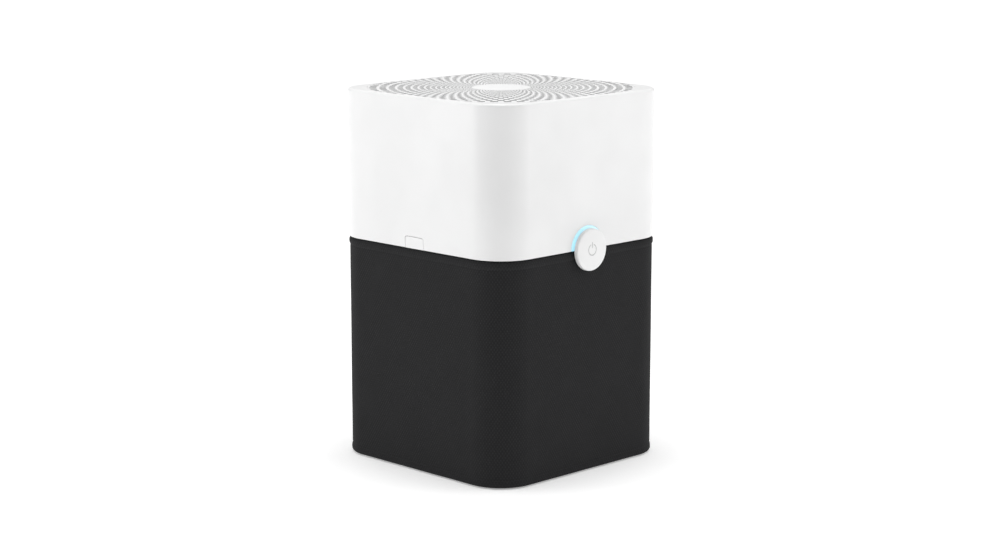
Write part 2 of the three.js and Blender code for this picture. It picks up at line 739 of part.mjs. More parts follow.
function latch(name, side) {
  const face = raise(latchOutline(LATCH_WIDTH / 2, LATCH_HEIGHT, 2.6), -LATCH_FACE, 0);
  const slider = box(LATCH_ARM_WIDTH, 8, -12.6, -LATCH_FACE + 0.5, 0, 9);
  const arm = box(LATCH_ARM_WIDTH, 24, -9.6, -6.4, 0, 0.5);
  const hook = box(LATCH_ARM_WIDTH, 4, -7, -4.3, 0, -9.4);
  const spring = coil(3, 0.4, -24.4, -12.9, 3);
  return [
    onSide(side, SEAM, piece(name, joined([face, slider, arm, hook]), finish.whiteShell)),
    onSide(side, SEAM, piece(`${name}_spring`, spring.translate(0, 9, 0), finish.steel)),
  ];
}

// ---- head: mains electrics in the back right corner, outside the duct ------------------------
function electrics() {
  const board = piece("power_board", box(1.6, 74, 338, 428, 160), finish.board);
  const capacitor = piece("motor_capacitor", disc(9, 345, 392, 172, -21), finish.blackFrame);
  const terminals = piece("mains_terminals", box(12, 24, 345, 363, 168.2, 20), finish.led);
  const corner = group(board, capacitor, terminals);
  corner.rotation.z = TURN / 8;
  return corner;
}

function cordGland() {
  const neck = glandDisc(GLAND_NECK, -7, 1);
  const collar = glandDisc(GLAND_NECK + 3, GAP, CAP_FRONT);
  const bore = glandDisc(3.6, -8, CAP_FRONT + 1);
  return onSide(2, SEAM, piece("cord_gland", neck.add(collar).subtract(bore), finish.rubber));
}

function head() {
  return group(
    piece("head_shell", headShell(), finish.whiteShell),
    piece("top_grille", topGrille(), finish.whiteShell),
    piece("intake_plate", intakePlate(), finish.blackFrame),
    piece("intake_guard", intakeGuard(), finish.blackFrame),
    piece("fan_frame", fanFrame(), finish.blackFrame),
    piece("guide_vanes", guideVanes(), finish.blackFrame),
    piece("motor_cup", motorCup(), finish.blackFrame),
    ...frameScrews(),
    motor(),
    rotor(),
    buttonSupport(),
    button(),
    ...latch("latch_left", -1),
    ...latch("latch_right", 1),
    electrics(),
    cordGland(),
  );
}

export default group(base(), preFilter(), filterCartridge(), head());
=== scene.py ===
"""Looks of a free-standing room air purifier: a white fan head on a filter base in a fabric sleeve.

Lengths in the constants are in millimetres; Blender's are in metres, which mm() gives.
"""

import json
import math

import bpy
from mathutils import Matrix, Vector

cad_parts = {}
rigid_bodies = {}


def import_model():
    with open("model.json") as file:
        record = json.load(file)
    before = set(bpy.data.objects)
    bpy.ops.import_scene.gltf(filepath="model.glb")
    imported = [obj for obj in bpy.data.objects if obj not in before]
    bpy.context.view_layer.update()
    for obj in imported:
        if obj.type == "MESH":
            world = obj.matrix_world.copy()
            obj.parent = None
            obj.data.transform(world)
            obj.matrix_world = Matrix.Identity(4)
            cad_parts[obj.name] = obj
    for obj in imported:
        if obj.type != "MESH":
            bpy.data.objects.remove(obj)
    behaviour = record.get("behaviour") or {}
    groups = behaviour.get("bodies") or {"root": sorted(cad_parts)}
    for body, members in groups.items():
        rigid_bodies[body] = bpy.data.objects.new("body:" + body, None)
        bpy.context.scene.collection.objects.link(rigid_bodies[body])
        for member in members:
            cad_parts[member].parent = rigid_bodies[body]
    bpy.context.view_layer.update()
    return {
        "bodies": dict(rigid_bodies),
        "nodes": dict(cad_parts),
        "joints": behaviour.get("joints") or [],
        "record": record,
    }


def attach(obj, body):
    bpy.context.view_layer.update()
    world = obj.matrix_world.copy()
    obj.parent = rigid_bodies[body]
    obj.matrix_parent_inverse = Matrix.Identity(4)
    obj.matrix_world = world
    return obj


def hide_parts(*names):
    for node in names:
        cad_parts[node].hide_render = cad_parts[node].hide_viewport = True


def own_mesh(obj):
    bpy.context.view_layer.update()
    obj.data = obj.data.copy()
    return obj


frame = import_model()
cad_nodes = frame["nodes"]

TURN = 2 * math.pi
TINY = 1e-5

# ---- the object's sizes ------------------------------------------------------------------------
HEIGHT = 518  # floor to top plate
HALF = 166  # half the width of the white head
CORNER = 54  # its vertical corner radius
SEAM = 311  # lower edge of the white head
WALL = 2.8
GRILLE_HALF = 160
GRILLE_GAP = 0.3  # between the grille and the opening that it fills
GRILLE_CORNER = 98
BUTTON_RADIUS = 29
BUTTON_AXIS = 14  # height above the seam of its plunger, its spring and the switch
CAP_BACK = 2.3  # the cap's distance from the face of the shell, at its back and at its front
CAP_FRONT = 9
LATCH_WIDTH = 35.5
LATCH_HEIGHT = 15.8
GLAND_ACROSS = 100
GLAND_UP = 335
SLEEVE_TOP = 310
SLEEVE_BOTTOM = 1.9


def mm(*lengths):
    """Millimetres to metres: one number, or a point."""
    metres = tuple(length / 1000 for length in lengths)
    return metres[0] if len(metres) == 1 else metres


# ---- modelling ---------------------------------------------------------------------------------
def only(*pieces):
    """Selects these objects and nothing else, with the first one active."""
    bpy.ops.object.select_all(action="DESELECT")
    for piece in pieces:
        piece.select_set(True)
    bpy.context.view_layer.objects.active = pieces[0]


def added(name):
    """Names the primitive that was just added, and puts its place into its mesh."""
    piece = bpy.context.object
    only(piece)
    bpy.ops.object.transform_apply(location=True, rotation=True, scale=True)
    piece.name = name
    piece.data.name = name
    return piece


def shaped(piece, kind, chosen, *steps):
    """Selects the vertices, edges or faces that pass a test, then runs edit-mode operators."""
    mesh = piece.data
    only(piece)
    kinds = {"VERT": mesh.vertices, "EDGE": mesh.edges, "FACE": mesh.polygons}
    bpy.context.tool_settings.mesh_select_mode = [kind == known for known in kinds]
    for parts in kinds.values():
        parts.foreach_set("select", [False] * len(parts))
    kinds[kind].foreach_set("select", [bool(chosen(mesh, part)) for part in kinds[kind]])
    bpy.ops.object.mode_set(mode="EDIT")
    for operator, settings in steps:
        operator(**settings)
    bpy.ops.object.mode_set(mode="OBJECT")
    return piece


def everything(mesh, part):
    return True


def corners(mesh, part):
    return [mesh.vertices[index].co for index in part.vertices]


def upright(mesh, edge):
    a, b = corners(mesh, edge)
    return (a - b).xy.length < TINY < abs(a.z - b.z)


def along(axis):
    """A test for edges that run along X, Y or Z."""

    def runs(mesh, edge):
        a, b = corners(mesh, edge)
        step = b - a
        return abs(abs(step[axis]) - step.length) < TINY

    return runs


def level(height):
    """A test for edges or faces that lie flat at a height."""
    return lambda mesh, part: all(abs(co.z - mm(height)) < TINY for co in corners(mesh, part))


def rounded(piece, chosen, radius, segments):
    """Rounds the edges that pass a test to a radius in millimetres."""
    rounding = {"offset": mm(radius), "segments": segments, "affect": "EDGES", "profile": 0.5}
    return shaped(piece, "EDGE", chosen, (bpy.ops.mesh.bevel, rounding))


def about_z(angle):
    return Matrix.Rotation(angle, 4, "Z")


def modified(piece, kind, **settings):
    """Adds a modifier, sets it and applies it."""
    only(piece)
    modifier = piece.modifiers.new(kind.title(), kind)
    for name, value in settings.items():
        setattr(modifier, name, value)
    bpy.ops.object.modifier_apply(modifier=modifier.name)
    return piece


def discard(*pieces):
    for piece in pieces:
        bpy.data.objects.remove(piece)


def carved(piece, *cutters, operation="DIFFERENCE"):
    """Cuts, joins or crosses a closed piece with others, which are used up."""
    for cutter in cutters:
        modified(piece, "BOOLEAN", object=cutter, operation=operation, solver="MANIFOLD")
        discard(cutter)
    return piece


def smooth(piece, angle=35):
    """Smooth shading with crisp edges, where broad faces stay flat up to their roundings."""
    only(piece)
    bpy.ops.object.shade_smooth_by_angle(angle=math.radians(angle), keep_sharp_edges=False)
    return modified(piece, "WEIGHTED_NORMAL", keep_sharp=True, weight=80)


def softened(piece, width, segments=2, angle=30):
    """Rounds a piece's sharp edges, as a mould's radius does."""
    modified(
        piece,
        "BEVEL",
        width=mm(width),
        segments=segments,
        limit_method="ANGLE",
        angle_limit=math.radians(angle),
        miter_outer="MITER_ARC",
        harden_normals=False,
    )
    return piece


def block(name, low, high, corner=0, steps=6):
    """A box between two corners, with its upright edges rounded."""
    middle = [(a + b) / 2 for a, b in zip(low, high)]
    size = [b - a for a, b in zip(low, high)]
    bpy.ops.mesh.primitive_cube_add(size=1, location=mm(*middle), scale=mm(*size))
    piece = added(name)
    if corner:
        rounded(piece, upright, corner, steps)
    return piece


def square(name, half, corner, low, high, steps=24):
    """A rounded square block about the upright axis."""
    return block(name, (-half, -half, low), (half, half, high), corner, steps)


def square_ring(name, half, corner, width, low, high, steps=24):
    """A rounded square band whose corners keep the same centre inside and out."""
    inside = square("hole", half - width, max(corner - width, 1), low - 5, high + 5, steps)
    return carved(square(name, half, corner, low, high, steps), inside)


def side_block(name, side, inner, outer, half_width, low, high):
    """A block on the left (-1) or right (1), between two distances from the upright axis."""
    near, far = sorted((side * inner, side * outer))
    return block(name, (near, -half_width, low), (far, half_width, high))


def drum(name, radius, low, high, x=0, y=0, sides=64):
    """An upright cylinder."""
    bpy.ops.mesh.primitive_cylinder_add(
        vertices=sides, radius=mm(radius), depth=mm(high - low), location=mm(x, y, (low + high) / 2)
    )
    return added(name)


def turned(name, outline, sides=64):
    """Spins an outline of (radius, height) about the upright axis into a closed solid.

    The outline starts and ends on the axis, or ends where it started.
    """
    bpy.ops.mesh.primitive_plane_add(size=mm(1))
    piece = added(name)
    points = [Vector(mm(radius, 0, height)) for radius, height in outline]
    strokes = [
        (bpy.ops.mesh.extrude_region_move, {"TRANSFORM_OT_translate": {"value": b - a}})
        for a, b in zip(points, points[1:])
    ]
    shaped(
        piece,
        "VERT",
        everything,
        (bpy.ops.mesh.merge, {"type": "CENTER"}),
        (bpy.ops.transform.translate, {"value": points[0]}),
        *strokes,
        (bpy.ops.mesh.select_all, {"action": "SELECT"}),
        (bpy.ops.mesh.spin, {"steps": sides, "angle": TURN, "center": (0, 0, 0), "axis": (0, 0, 1)}),
        (bpy.ops.mesh.select_all, {"action": "SELECT"}),
        (bpy.ops.mesh.remove_doubles, {"threshold": 1e-6}),
        (bpy.ops.mesh.normals_make_consistent, {"inside": False}),
    )
    return piece


def moved(piece, matrix):
    """Puts a finished piece somewhere else, with its new place in its mesh."""
    piece.matrix_world = matrix
    only(piece)
    bpy.ops.object.transform_apply(location=True, rotation=True, scale=True)
    return piece


def on_side(side, height):
    """The frame of a side: X to the right, Y up, Z outwards. 0 front, -1 left, 1 right, 2 back."""
    angle = side * TURN / 4
    place = Vector(mm(HALF * math.sin(angle), -HALF * math.cos(angle), height))
    return Matrix.Translation(place) @ about_z(angle) @ Matrix.Rotation(TURN / 4, 4, "X")


def copied(piece, name):
    """A copy with its own mesh."""
    twin = piece.copy()
    twin.data = piece.data.copy()
    twin.name = name
    twin.data.name = name
    bpy.context.scene.collection.objects.link(twin)
    return twin


def joined(name, *pieces):
    """Gathers several meshes that touch or fill one moulding into one piece."""
    only(*pieces)
    bpy.ops.object.join()
    pieces[0].name = name
    pieces[0].data.name = name
    return pieces[0]


def fitted(piece, body, finish, *replaced, slot=None):
    """Gives a finished piece its material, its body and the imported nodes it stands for."""
    piece.data.materials.clear()
    piece.data.materials.append(finish)
    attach(piece, body)
    if replaced:
        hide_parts(*replaced)
    return piece


# ---- materials ---------------------------------------------------------------------------------
def linear(hex_colour):
    """An sRGB hex colour as linear red, green, blue and alpha."""
    channels = [int(hex_colour[i : i + 2], 16) / 255 for i in (1, 3, 5)]
    return tuple(
        c / 12.92 if c <= 0.04045 else ((c + 0.055) / 1.055) ** 2.4 for c in channels
    ) + (1,)


def add(tree, kind, inputs=None, **settings):
    """Adds a node, sets its properties and gives its inputs values or other nodes' outputs."""
    node = tree.nodes.new(kind)
    for name, value in settings.items():
        if hasattr(node, name):
            setattr(node, name, value)
        else:
            node.inputs[name.replace("_", " ")].default_value = value
    for name, source in (inputs or {}).items():
        if isinstance(source, bpy.types.NodeSocket):
            tree.links.new(source, node.inputs[name])
        else:
            node.inputs[name].default_value = source
    return node


def surface(name, colour, roughness, **shader):
    """A material with a Principled shader: returns the material, its node tree and the shader."""
    material = bpy.data.materials.new(name)
    material.use_nodes = True
    material.diffuse_color = linear(colour)
    tree = material.node_tree
    principled = tree.nodes["Principled BSDF"]
    principled.inputs["Base Color"].default_value = linear(colour)
    principled.inputs["Roughness"].default_value = roughness
    for socket, value in shader.items():
        principled.inputs[socket.replace("_", " ")].default_value = value
    return material, tree, principled


def place(tree):
    """Where a point lies on the object, which patterns follow."""
    return add(tree, "ShaderNodeTexCoord").outputs["Object"]


def grain(tree, size, detail=3):
    """A noise whose lumps are about a size in millimetres across."""
    noise = add(tree, "ShaderNodeTexNoise", {"Vector": place(tree)}, Scale=1000 / size, Detail=detail)
    return noise.outputs["Fac"]


def tinted(tree, principled, pattern, dark, light, low=0.35, high=0.65):
    """Colours the shader between two tones by a pattern."""
    ramp = add(tree, "ShaderNodeValToRGB", {"Fac": pattern})
    for stop, at, tone in zip(ramp.color_ramp.elements, (low, high), (dark, light)):
        stop.position = at
        stop.color = linear(tone)
    tree.links.new(ramp.outputs["Color"], principled.inputs["Base Color"])


def roughened(tree, principled, pattern, smoothest, roughest):
    """Varies the roughness between two values by a pattern."""
    spread = add(tree, "ShaderNodeMapRange", {"Value": pattern}, To_Min=smoothest, To_Max=roughest)
    tree.links.new(spread.outputs["Result"], principled.inputs["Roughness"])


def embossed(tree, principled, pattern, depth, strength):
    """Raises a pattern by a depth in millimetres."""
    bump = add(tree, "ShaderNodeBump", {"Height": pattern}, Strength=strength, Distance=mm(depth))
    tree.links.new(bump.outputs["Normal"], principled.inputs["Normal"])


def gloss_abs():
    """Injection-moulded ABS, near white: a soft gloss with the faint ripple of a polished mould."""
    material, tree, shader = surface("gloss_abs_white", "#f4f4f4", 0.3, IOR=1.52)
    tinted(tree, shader, grain(tree, 90, 2), "#f1f1f1", "#f5f5f5")
    roughened(tree, shader, grain(tree, 25), 0.26, 0.36)
    embossed(tree, shader, grain(tree, 14, 2), 0.05, 0.25)
    return material


def satin_abs():
    """The same ABS from a finely etched mould, as on the grille: the gloss is broken up."""
    material, tree, shader = surface("etched_abs_white", "#f3f3f3", 0.42, IOR=1.52)
    tinted(tree, shader, grain(tree, 70, 2), "#f0f0f0", "#f5f5f5")
    roughened(tree, shader, grain(tree, 12), 0.36, 0.48)
    embossed(tree, shader, grain(tree, 1.2, 2), 0.02, 0.3)
    return material


def lit_acrylic():
    """Opal acrylic lit from behind: pale blue, brightest next to the lamps at the upper left."""
    material, tree, shader = surface("opal_acrylic_lit", "#bfe3ef", 0.3, IOR=1.49)
    shader.inputs["Emission Strength"].default_value = 0.52
    across = add(tree, "ShaderNodeSeparateXYZ", {"Vector": place(tree)}).outputs["X"]
    ends = {"From_Min": mm(-BUTTON_RADIUS), "From_Max": mm(BUTTON_RADIUS)}
    share = add(tree, "ShaderNodeMapRange", {"Value": across}, **ends).outputs["Result"]
    ramp = add(tree, "ShaderNodeValToRGB", {"Fac": share})
    stops = ramp.color_ramp.elements
    stops[0].color, stops[1].color = linear("#a4e4f8"), linear("#d4f0f8")
    tree.links.new(ramp.outputs["Color"], shader.inputs["Emission Color"])
    return material


LOOP = 1.8  # one row of the knit, of which the real cloth has two in this width
LOOP_SLANT = 0.6  # radians that the loops lean to either side
STITCH = 3  # length of one lockstitch of the hems, with its gap
THREAD = 0.4  # half its width
STITCH_ROWS = (SLEEVE_TOP - 10.2, SLEEVE_BOTTOM + 9.7)


def knitted_polyester():
    """Fine warp-knitted polyester, charcoal: rows of small loops with painted shade in the gaps
    between them, and a row of lockstitch along each hem.

    The real loops of 0.9 mm are too fine to show, so they are drawn twice as wide.
    """
    material, tree, shader = surface("knitted_polyester_charcoal", "#282829", 0.85)
    shader.inputs["Specular IOR Level"].default_value = 0.15
    cloth = add(tree, "ShaderNodeUVMap", uv_map="cloth").outputs["UV"]
    scale = {"Scale": 1000 / LOOP / TURN, "Distortion": 1.5, "Detail": 1, "Detail_Scale": 3}
    loops = []
    for turn in (LOOP_SLANT, -LOOP_SLANT):
        slanted = add(tree, "ShaderNodeMapping", {"Vector": cloth}, Rotation=(0, 0, turn))
        vector = {"Vector": slanted.outputs["Vector"]}
        loops.append(add(tree, "ShaderNodeTexWave", vector, **scale).outputs["Fac"])
    crossing = {0: loops[0], 1: loops[1]}
    weave = add(tree, "ShaderNodeMath", crossing, operation="MULTIPLY").outputs["Value"]
    spot = add(tree, "ShaderNodeSeparateXYZ", {"Vector": cloth})
    stitch = spot.outputs["X"]
    for operation, amount in (("MULTIPLY", 1 / mm(STITCH)), ("FRACT", 0), ("LESS_THAN", 0.75)):
        one = add(tree, "ShaderNodeMath", {0: stitch, 1: amount}, operation=operation)
        stitch = one.outputs["Value"]
    for row in STITCH_ROWS:
        band = {0: spot.outputs["Y"], 1: mm(row), 2: mm(THREAD)}
        near = add(tree, "ShaderNodeMath", band, operation="COMPARE").outputs["Value"]
        thread = add(tree, "ShaderNodeMath", {0: near, 1: stitch}, operation="MULTIPLY")
        raised = {0: weave, 1: thread.outputs["Value"]}
        weave = add(tree, "ShaderNodeMath", raised, operation="MAXIMUM").outputs["Value"]
    # painted shade: the cloth is darker in the gaps between the loops, where the relief is low; the loop
    # tops and the hem stitches keep the lighter tone
    tinted(tree, shader, weave, "#242425", "#2d2d2e", 0.0, 0.8)
    roughened(tree, shader, grain(tree, 30, 4), 0.78, 0.92)
    embossed(tree, shader, weave, 0.18, 0.6)
    return material


def textured_pp():
    """Glass-filled polypropylene from a spark-eroded mould, black: an even, dull grain."""
    material, tree, shader = surface("spark_grained_pp_black", "#1c1c1d", 0.55)
    tinted(tree, shader, grain(tree, 2.5, 4), "#191919", "#212122")
    roughened(tree, shader, grain(tree, 8), 0.48, 0.64)
    embossed(tree, shader, grain(tree, 0.9, 2), 0.05, 0.5)
    return material


def rubber():
    """Moulded EPDM rubber: dead matt, with pale dust in its pores."""
    material, tree, shader = surface("epdm_rubber_black", "#1a1a1a", 0.85)
    tinted(tree, shader, grain(tree, 3, 5), "#141414", "#242424")
    embossed(tree, shader, grain(tree, 0.6, 3), 0.05, 0.6)
    return material


def filter_paper():
    """Pleated cellulose and glass filter paper: off-white, fibrous and quite matt."""
    material, tree, shader = surface("pleated_filter_paper", "#e6e3d9", 0.95)
    tinted(tree, shader, grain(tree, 4, 6), "#dedacd", "#edebe2")
    embossed(tree, shader, grain(tree, 0.8, 4), 0.08, 0.5)
    return material


def carbon_fleece():
    """Needled polyester fleece coated with activated carbon: sooty black with a grey fibre fleck."""
    material, tree, shader = surface("carbon_coated_fleece", "#222223", 0.95)
    tinted(tree, shader, grain(tree, 1.6, 6), "#161617", "#3a3a3b", 0.4, 0.75)
    cells = add(tree, "ShaderNodeTexVoronoi", {"Vector": place(tree)}, Scale=1000 / 2.5)
    embossed(tree, shader, cells.outputs["Distance"], 0.3, 0.7)
    return material


def foam_rubber():
    """Open-celled polyurethane foam, dark grey: a mass of small pits, with painted shade in each pit."""
    material, tree, shader = surface("polyurethane_foam_grey", "#3b3b3d", 0.95)
    cells = add(tree, "ShaderNodeTexVoronoi", {"Vector": place(tree)}, Scale=1000 / 1.8)
    # painted shade: each cell is darker towards its middle, where the pit is deepest
    tinted(tree, shader, cells.outputs["Distance"], "#232325", "#4a4a4c", 0.1, 0.6)
    embossed(tree, shader, cells.outputs["Distance"], 0.4, 0.8)
    return material


def woven_webbing():
    """Woven polyester tape, mid blue-grey: fine cross ribs from its weft, with painted shade between the
    ribs.
    """
    material, tree, shader = surface("woven_tape_blue_grey", "#5a6a75", 0.8)
    ribs = add(
        tree,
        "ShaderNodeTexWave",
        {"Vector": place(tree)},
        bands_direction="Y",
        Scale=1000 / 1.4 / TURN,
        Distortion=0.4,
    ).outputs["Fac"]
    # painted shade: darker between the ribs, where the relief is low
    tinted(tree, shader, ribs, "#4d5b65", "#68798a", 0.2, 0.9)
    embossed(tree, shader, ribs, 0.2, 0.7)
    return material


def fan_abs():
    """Glass-filled ABS of a fan, dark grey: satin, with faint flow marks of its fibres."""
    material, tree, shader = surface("glass_filled_abs_grey", "#2e2f31", 0.42)
    tinted(tree, shader, grain(tree, 6, 6), "#28292b", "#37383a")
    roughened(tree, shader, grain(tree, 15), 0.36, 0.5)
    embossed(tree, shader, grain(tree, 1, 2), 0.03, 0.4)
    return material


def zinc_plate():
    """Bright zinc plating on pressed steel: a pale metal with a bluish, lightly crystalline bloom."""
    material, tree, shader = surface("zinc_plated_steel", "#b9bec2", 0.38, Metallic=1.0)
    tinted(tree, shader, grain(tree, 6, 5), "#a7acb1", "#c6cbce")
    roughened(tree, shader, grain(tree, 4, 4), 0.3, 0.48)
    embossed(tree, shader, grain(tree, 1.5, 3), 0.01, 0.3)
    return material


def ground_steel():
    """Ground bearing steel: a bright metal with fine rings left by the wheel."""
    material, tree, shader = surface("ground_steel", "#c8c9ca", 0.25, Metallic=1.0)
    rings = add(
        tree,
        "ShaderNodeTexWave",
        {"Vector": place(tree)},
        bands_direction="Z",
        Scale=1000 / 0.8 / TURN,
        Distortion=2,
    ).outputs["Fac"]
    roughened(tree, shader, rings, 0.18, 0.34)
    tinted(tree, shader, grain(tree, 5, 4), "#bcbdbe", "#d0d1d2")
    return material


def core_steel():
    """Stacked electrical-steel sheets with a bluish oxide on their cut edges."""
    material, tree, shader = surface("electrical_steel_stack", "#6d7178", 0.5, Metallic=1.0)
    layers = add(
        tree,
        "ShaderNodeTexWave",
        {"Vector": place(tree)},
        bands_direction="Z",
        Scale=1000 / 1.0 / TURN,
        Distortion=0.3,
    ).outputs["Fac"]
    tinted(tree, shader, layers, "#565a61", "#7f848b", 0.2, 0.8)
    embossed(tree, shader, layers, 0.05, 0.6)
    return material


def enamelled_copper():
    """Enamelled copper wire, wound: a red-brown metal whose turns show as fine ridges, with painted shade
    in the grooves between them.
    """
    material, tree, shader = surface("enamelled_copper_wire", "#a9633a", 0.35, Metallic=1.0)
    turns = add(
        tree,
        "ShaderNodeTexWave",
        {"Vector": place(tree)},
        wave_type="RINGS",
        rings_direction="Z",
        Scale=1000 / 0.9 / TURN,
        Distortion=0.5,
    ).outputs["Fac"]
    # painted shade: darker in the grooves between the turns, where the relief is low
    tinted(tree, shader, turns, "#8a4a28", "#bd7446", 0.15, 0.85)
    embossed(tree, shader, turns, 0.12, 0.7)
    return material


def circuit_laminate():
    """Glass-epoxy board under green solder mask: glossy, with lighter lines where copper runs."""
    material, tree, shader = surface("glass_epoxy_board_green", "#1f5c38", 0.3)
    bricks = add(tree, "ShaderNodeTexBrick", {"Vector": place(tree)}, Scale=1000 / 14)
    tracks = bricks.outputs["Fac"]
    tinted(tree, shader, tracks, "#1c5533", "#2f7a4d", 0.3, 0.7)
    embossed(tree, shader, tracks, 0.03, 0.5)
    return material


def natural_nylon():
    """Moulded natural nylon: milky, a little waxy, with a faint yellow cast."""
    material, tree, shader = surface("moulded_nylon_natural", "#dcd8cb", 0.45)
    shader.inputs["Subsurface Weight"].default_value = 0.1
    tinted(tree, shader, grain(tree, 9, 4), "#d4cfc0", "#e3e0d5")
    embossed(tree, shader, grain(tree, 1.2, 2), 0.02, 0.4)
    return material


def clear_epoxy():
    """Water-clear epoxy lamp body: pale, wet-looking, faintly blue from the lamp inside."""
    material, tree, shader = surface("clear_epoxy_lens", "#dcecf4", 0.08, IOR=1.5)
    shader.inputs["Emission Strength"].default_value = 0.3
    shader.inputs["Emission Color"].default_value = linear("#bdeaff")
    tinted(tree, shader, grain(tree, 2, 2), "#d4e7f1", "#e6f3f8")
    return material


def mark_ink():
    """Pale grey pad-printed ink on the cap: slightly duller than the plastic round it."""
    material, tree, shader = surface("pad_printed_ink_grey", "#c9c9c9", 0.5)
    tinted(tree, shader, grain(tree, 3, 3), "#c2c2c2", "#d0d0d0")
    return material


# ---- camera, floor and light -------------------------------------------------------------------
CAMERA_AWAY = 3241.9  # level distance from the object's axis
CAMERA_UP = 865.6
CAMERA_ROUND = 44.917  # degrees from the front, towards the left side
CAMERA_PAN = 44.891  # degrees that it looks to the right of straight back
CAMERA_DOWN = 10.824  # degrees below level
CAMERA_LENS = 84.43  # for a sensor 36 mm wide
SIDE_LIGHT = 0.96  # strength of the soft light from both sides of the room
BACK_LIGHT = 0.4  # of the wall straight behind the object
FRONT_LIGHT = 0.13  # of the darker room behind the camera
TOP_LIGHT = 0.46  # what the ceiling adds
SOFTBOX_LEFT = 2.8  # watts of the softboxes to the left and right, as the camera sees them
SOFTBOX_RIGHT = 2.2
SOFTBOX_ABOVE = 4.2  # and of the small one over the grille
AIM_UP = 380  # the height that they point at
FLOOR_GLOW = 0.32  # keeps the floor as white as the room round the object's feet


def softbox(name, where, size, power):
    """A soft lamp that points at the middle of the object and isn't seen itself."""
    aim = Vector(mm(0, 0, AIM_UP)) - Vector(mm(*where))
    turn = aim.to_track_quat("-Z", "Y").to_euler()
    bpy.ops.object.light_add(type="AREA", location=mm(*where), rotation=turn)
    lamp = bpy.context.object
    lamp.name = name
    lamp.visible_camera = False
    lamp.data.shape = "RECTANGLE"
    lamp.data.size, lamp.data.size_y = mm(*size)
    lamp.data.energy = power


def camera(towards):
    """The camera, away from the object's axis in a level direction, looking slightly down."""
    bpy.ops.object.camera_add(
        location=mm(CAMERA_AWAY * towards[0], CAMERA_AWAY * towards[1], CAMERA_UP),
        rotation=(math.radians(90 - CAMERA_DOWN), 0, -math.radians(CAMERA_PAN)),
    )
    eye = bpy.context.object
    eye.name = "camera"
    eye.data.lens = CAMERA_LENS
    eye.data.sensor_width = 36
    eye.data.clip_end = 100
    bpy.context.scene.camera = eye
    bpy.context.scene.view_settings.view_transform = "Standard"


def floor():
    """A white floor that spreads past the edge of the view."""
    bpy.ops.mesh.primitive_plane_add(size=60)
    ground = added("floor")
    paint, _, shader = surface("matt_studio_floor", "#fdfdfd", 0.9, Emission_Strength=FLOOR_GLOW)
    shader.inputs["Emission Color"].default_value = linear("#ffffff")
    ground.data.materials.append(paint)


def studio():
    """The camera, the floor, the softboxes and a room whose light follows the direction."""
    round_it = math.radians(CAMERA_ROUND)
    towards = (-math.sin(round_it), -math.cos(round_it), 0)
    camera(towards)
    floor()
    softbox("softbox_left", (-1050, 850, 750), (700, 1100), SOFTBOX_LEFT)
    softbox("softbox_right", (850, -1050, 750), (700, 1100), SOFTBOX_RIGHT)
    softbox("softbox_above", (0, 0, 1600), (300, 300), SOFTBOX_ABOVE)

    world = bpy.data.worlds.new("studio")
    world.use_nodes = True
    tree = world.node_tree
    direction = add(tree, "ShaderNodeTexCoord").outputs["Generated"]
    pair = {0: direction, 1: towards}
    facing = add(tree, "ShaderNodeVectorMath", pair, operation="DOT_PRODUCT").outputs["Value"]
    height = add(tree, "ShaderNodeSeparateXYZ", {"Vector": direction}).outputs["Z"]
    parts = []
    for along_it, start, end, at_start, at_end in (
        (facing, -0.5, 1, SIDE_LIGHT, FRONT_LIGHT),
        (facing, -1, -0.1, BACK_LIGHT - SIDE_LIGHT, 0),
        (height, 0.3, 1, 0, TOP_LIGHT),
    ):
        fade = {"From_Min": start, "From_Max": end, "To_Min": at_start, "To_Max": at_end}
        fade["interpolation_type"] = "SMOOTHSTEP"
        parts.append(add(tree, "ShaderNodeMapRange", {"Value": along_it}, **fade).outputs["Result"])
    shining = parts[0]
    for more in parts[1:]:
        total = add(tree, "ShaderNodeMath", {0: shining, 1: more}, operation="ADD")
        shining = total.outputs["Value"]
    backdrop = add(tree, "ShaderNodeLightPath").outputs["Is Camera Ray"]
    seen = add(tree, "ShaderNodeMath", {0: shining, 1: backdrop}, operation="MAXIMUM")
    background = tree.nodes["Background"]
    background.inputs["Color"].default_value = (1, 1, 1, 1)
    tree.links.new(seen.outputs["Value"], background.inputs["Strength"])
    bpy.context.scene.world = world


# ---- white head --------------------------------------------------------------------------------
def arched(name, low, high, corner):
    """A block drawn in a side's own frame, with its two upper corners rounded."""

    def upper(mesh, edge):
        top = mm(high[1]) - TINY
        return along(2)(mesh, edge) and all(co.y > top for co in corners(mesh, edge))

    return rounded(block(name, low, high), upper, corner, 6)


def head_shell(finish):
    """One white moulding: four walls and the flat border of the top."""
    shell = square("head_casing", HALF, CORNER, SEAM, HEIGHT)
    rounded(shell, level(HEIGHT), 4, 6)
    rounded(shell, level(SEAM), 0.8, 2)
    cavity = square("cavity", HALF - WALL, CORNER - WALL, SEAM - 10, HEIGHT - 4)
    opening = square("opening", GRILLE_HALF, GRILLE_CORNER, HEIGHT - 9, HEIGHT + 5, 32)
    notch = moved(drum("notch", BUTTON_RADIUS + 3.4, -8, 4), on_side(0, SEAM))
    slot_half = LATCH_WIDTH / 2 + 0.8
    slot = (-slot_half, -5, -8), (slot_half, LATCH_HEIGHT + 0.6, 4)
    slots = [moved(arched("latch_slot", *slot, 3.8), on_side(side, SEAM)) for side in (-1, 1)]
    outlet = drum("outlet", 6.3, -8, 4, -GLAND_ACROSS, GLAND_UP - SEAM, 32)
    moved(outlet, on_side(2, SEAM))
    carved(shell, cavity, opening, notch, *slots, outlet)
    smooth(shell, 40)
    return fitted(shell, "head", finish, "head_shell", slot="white_shell")


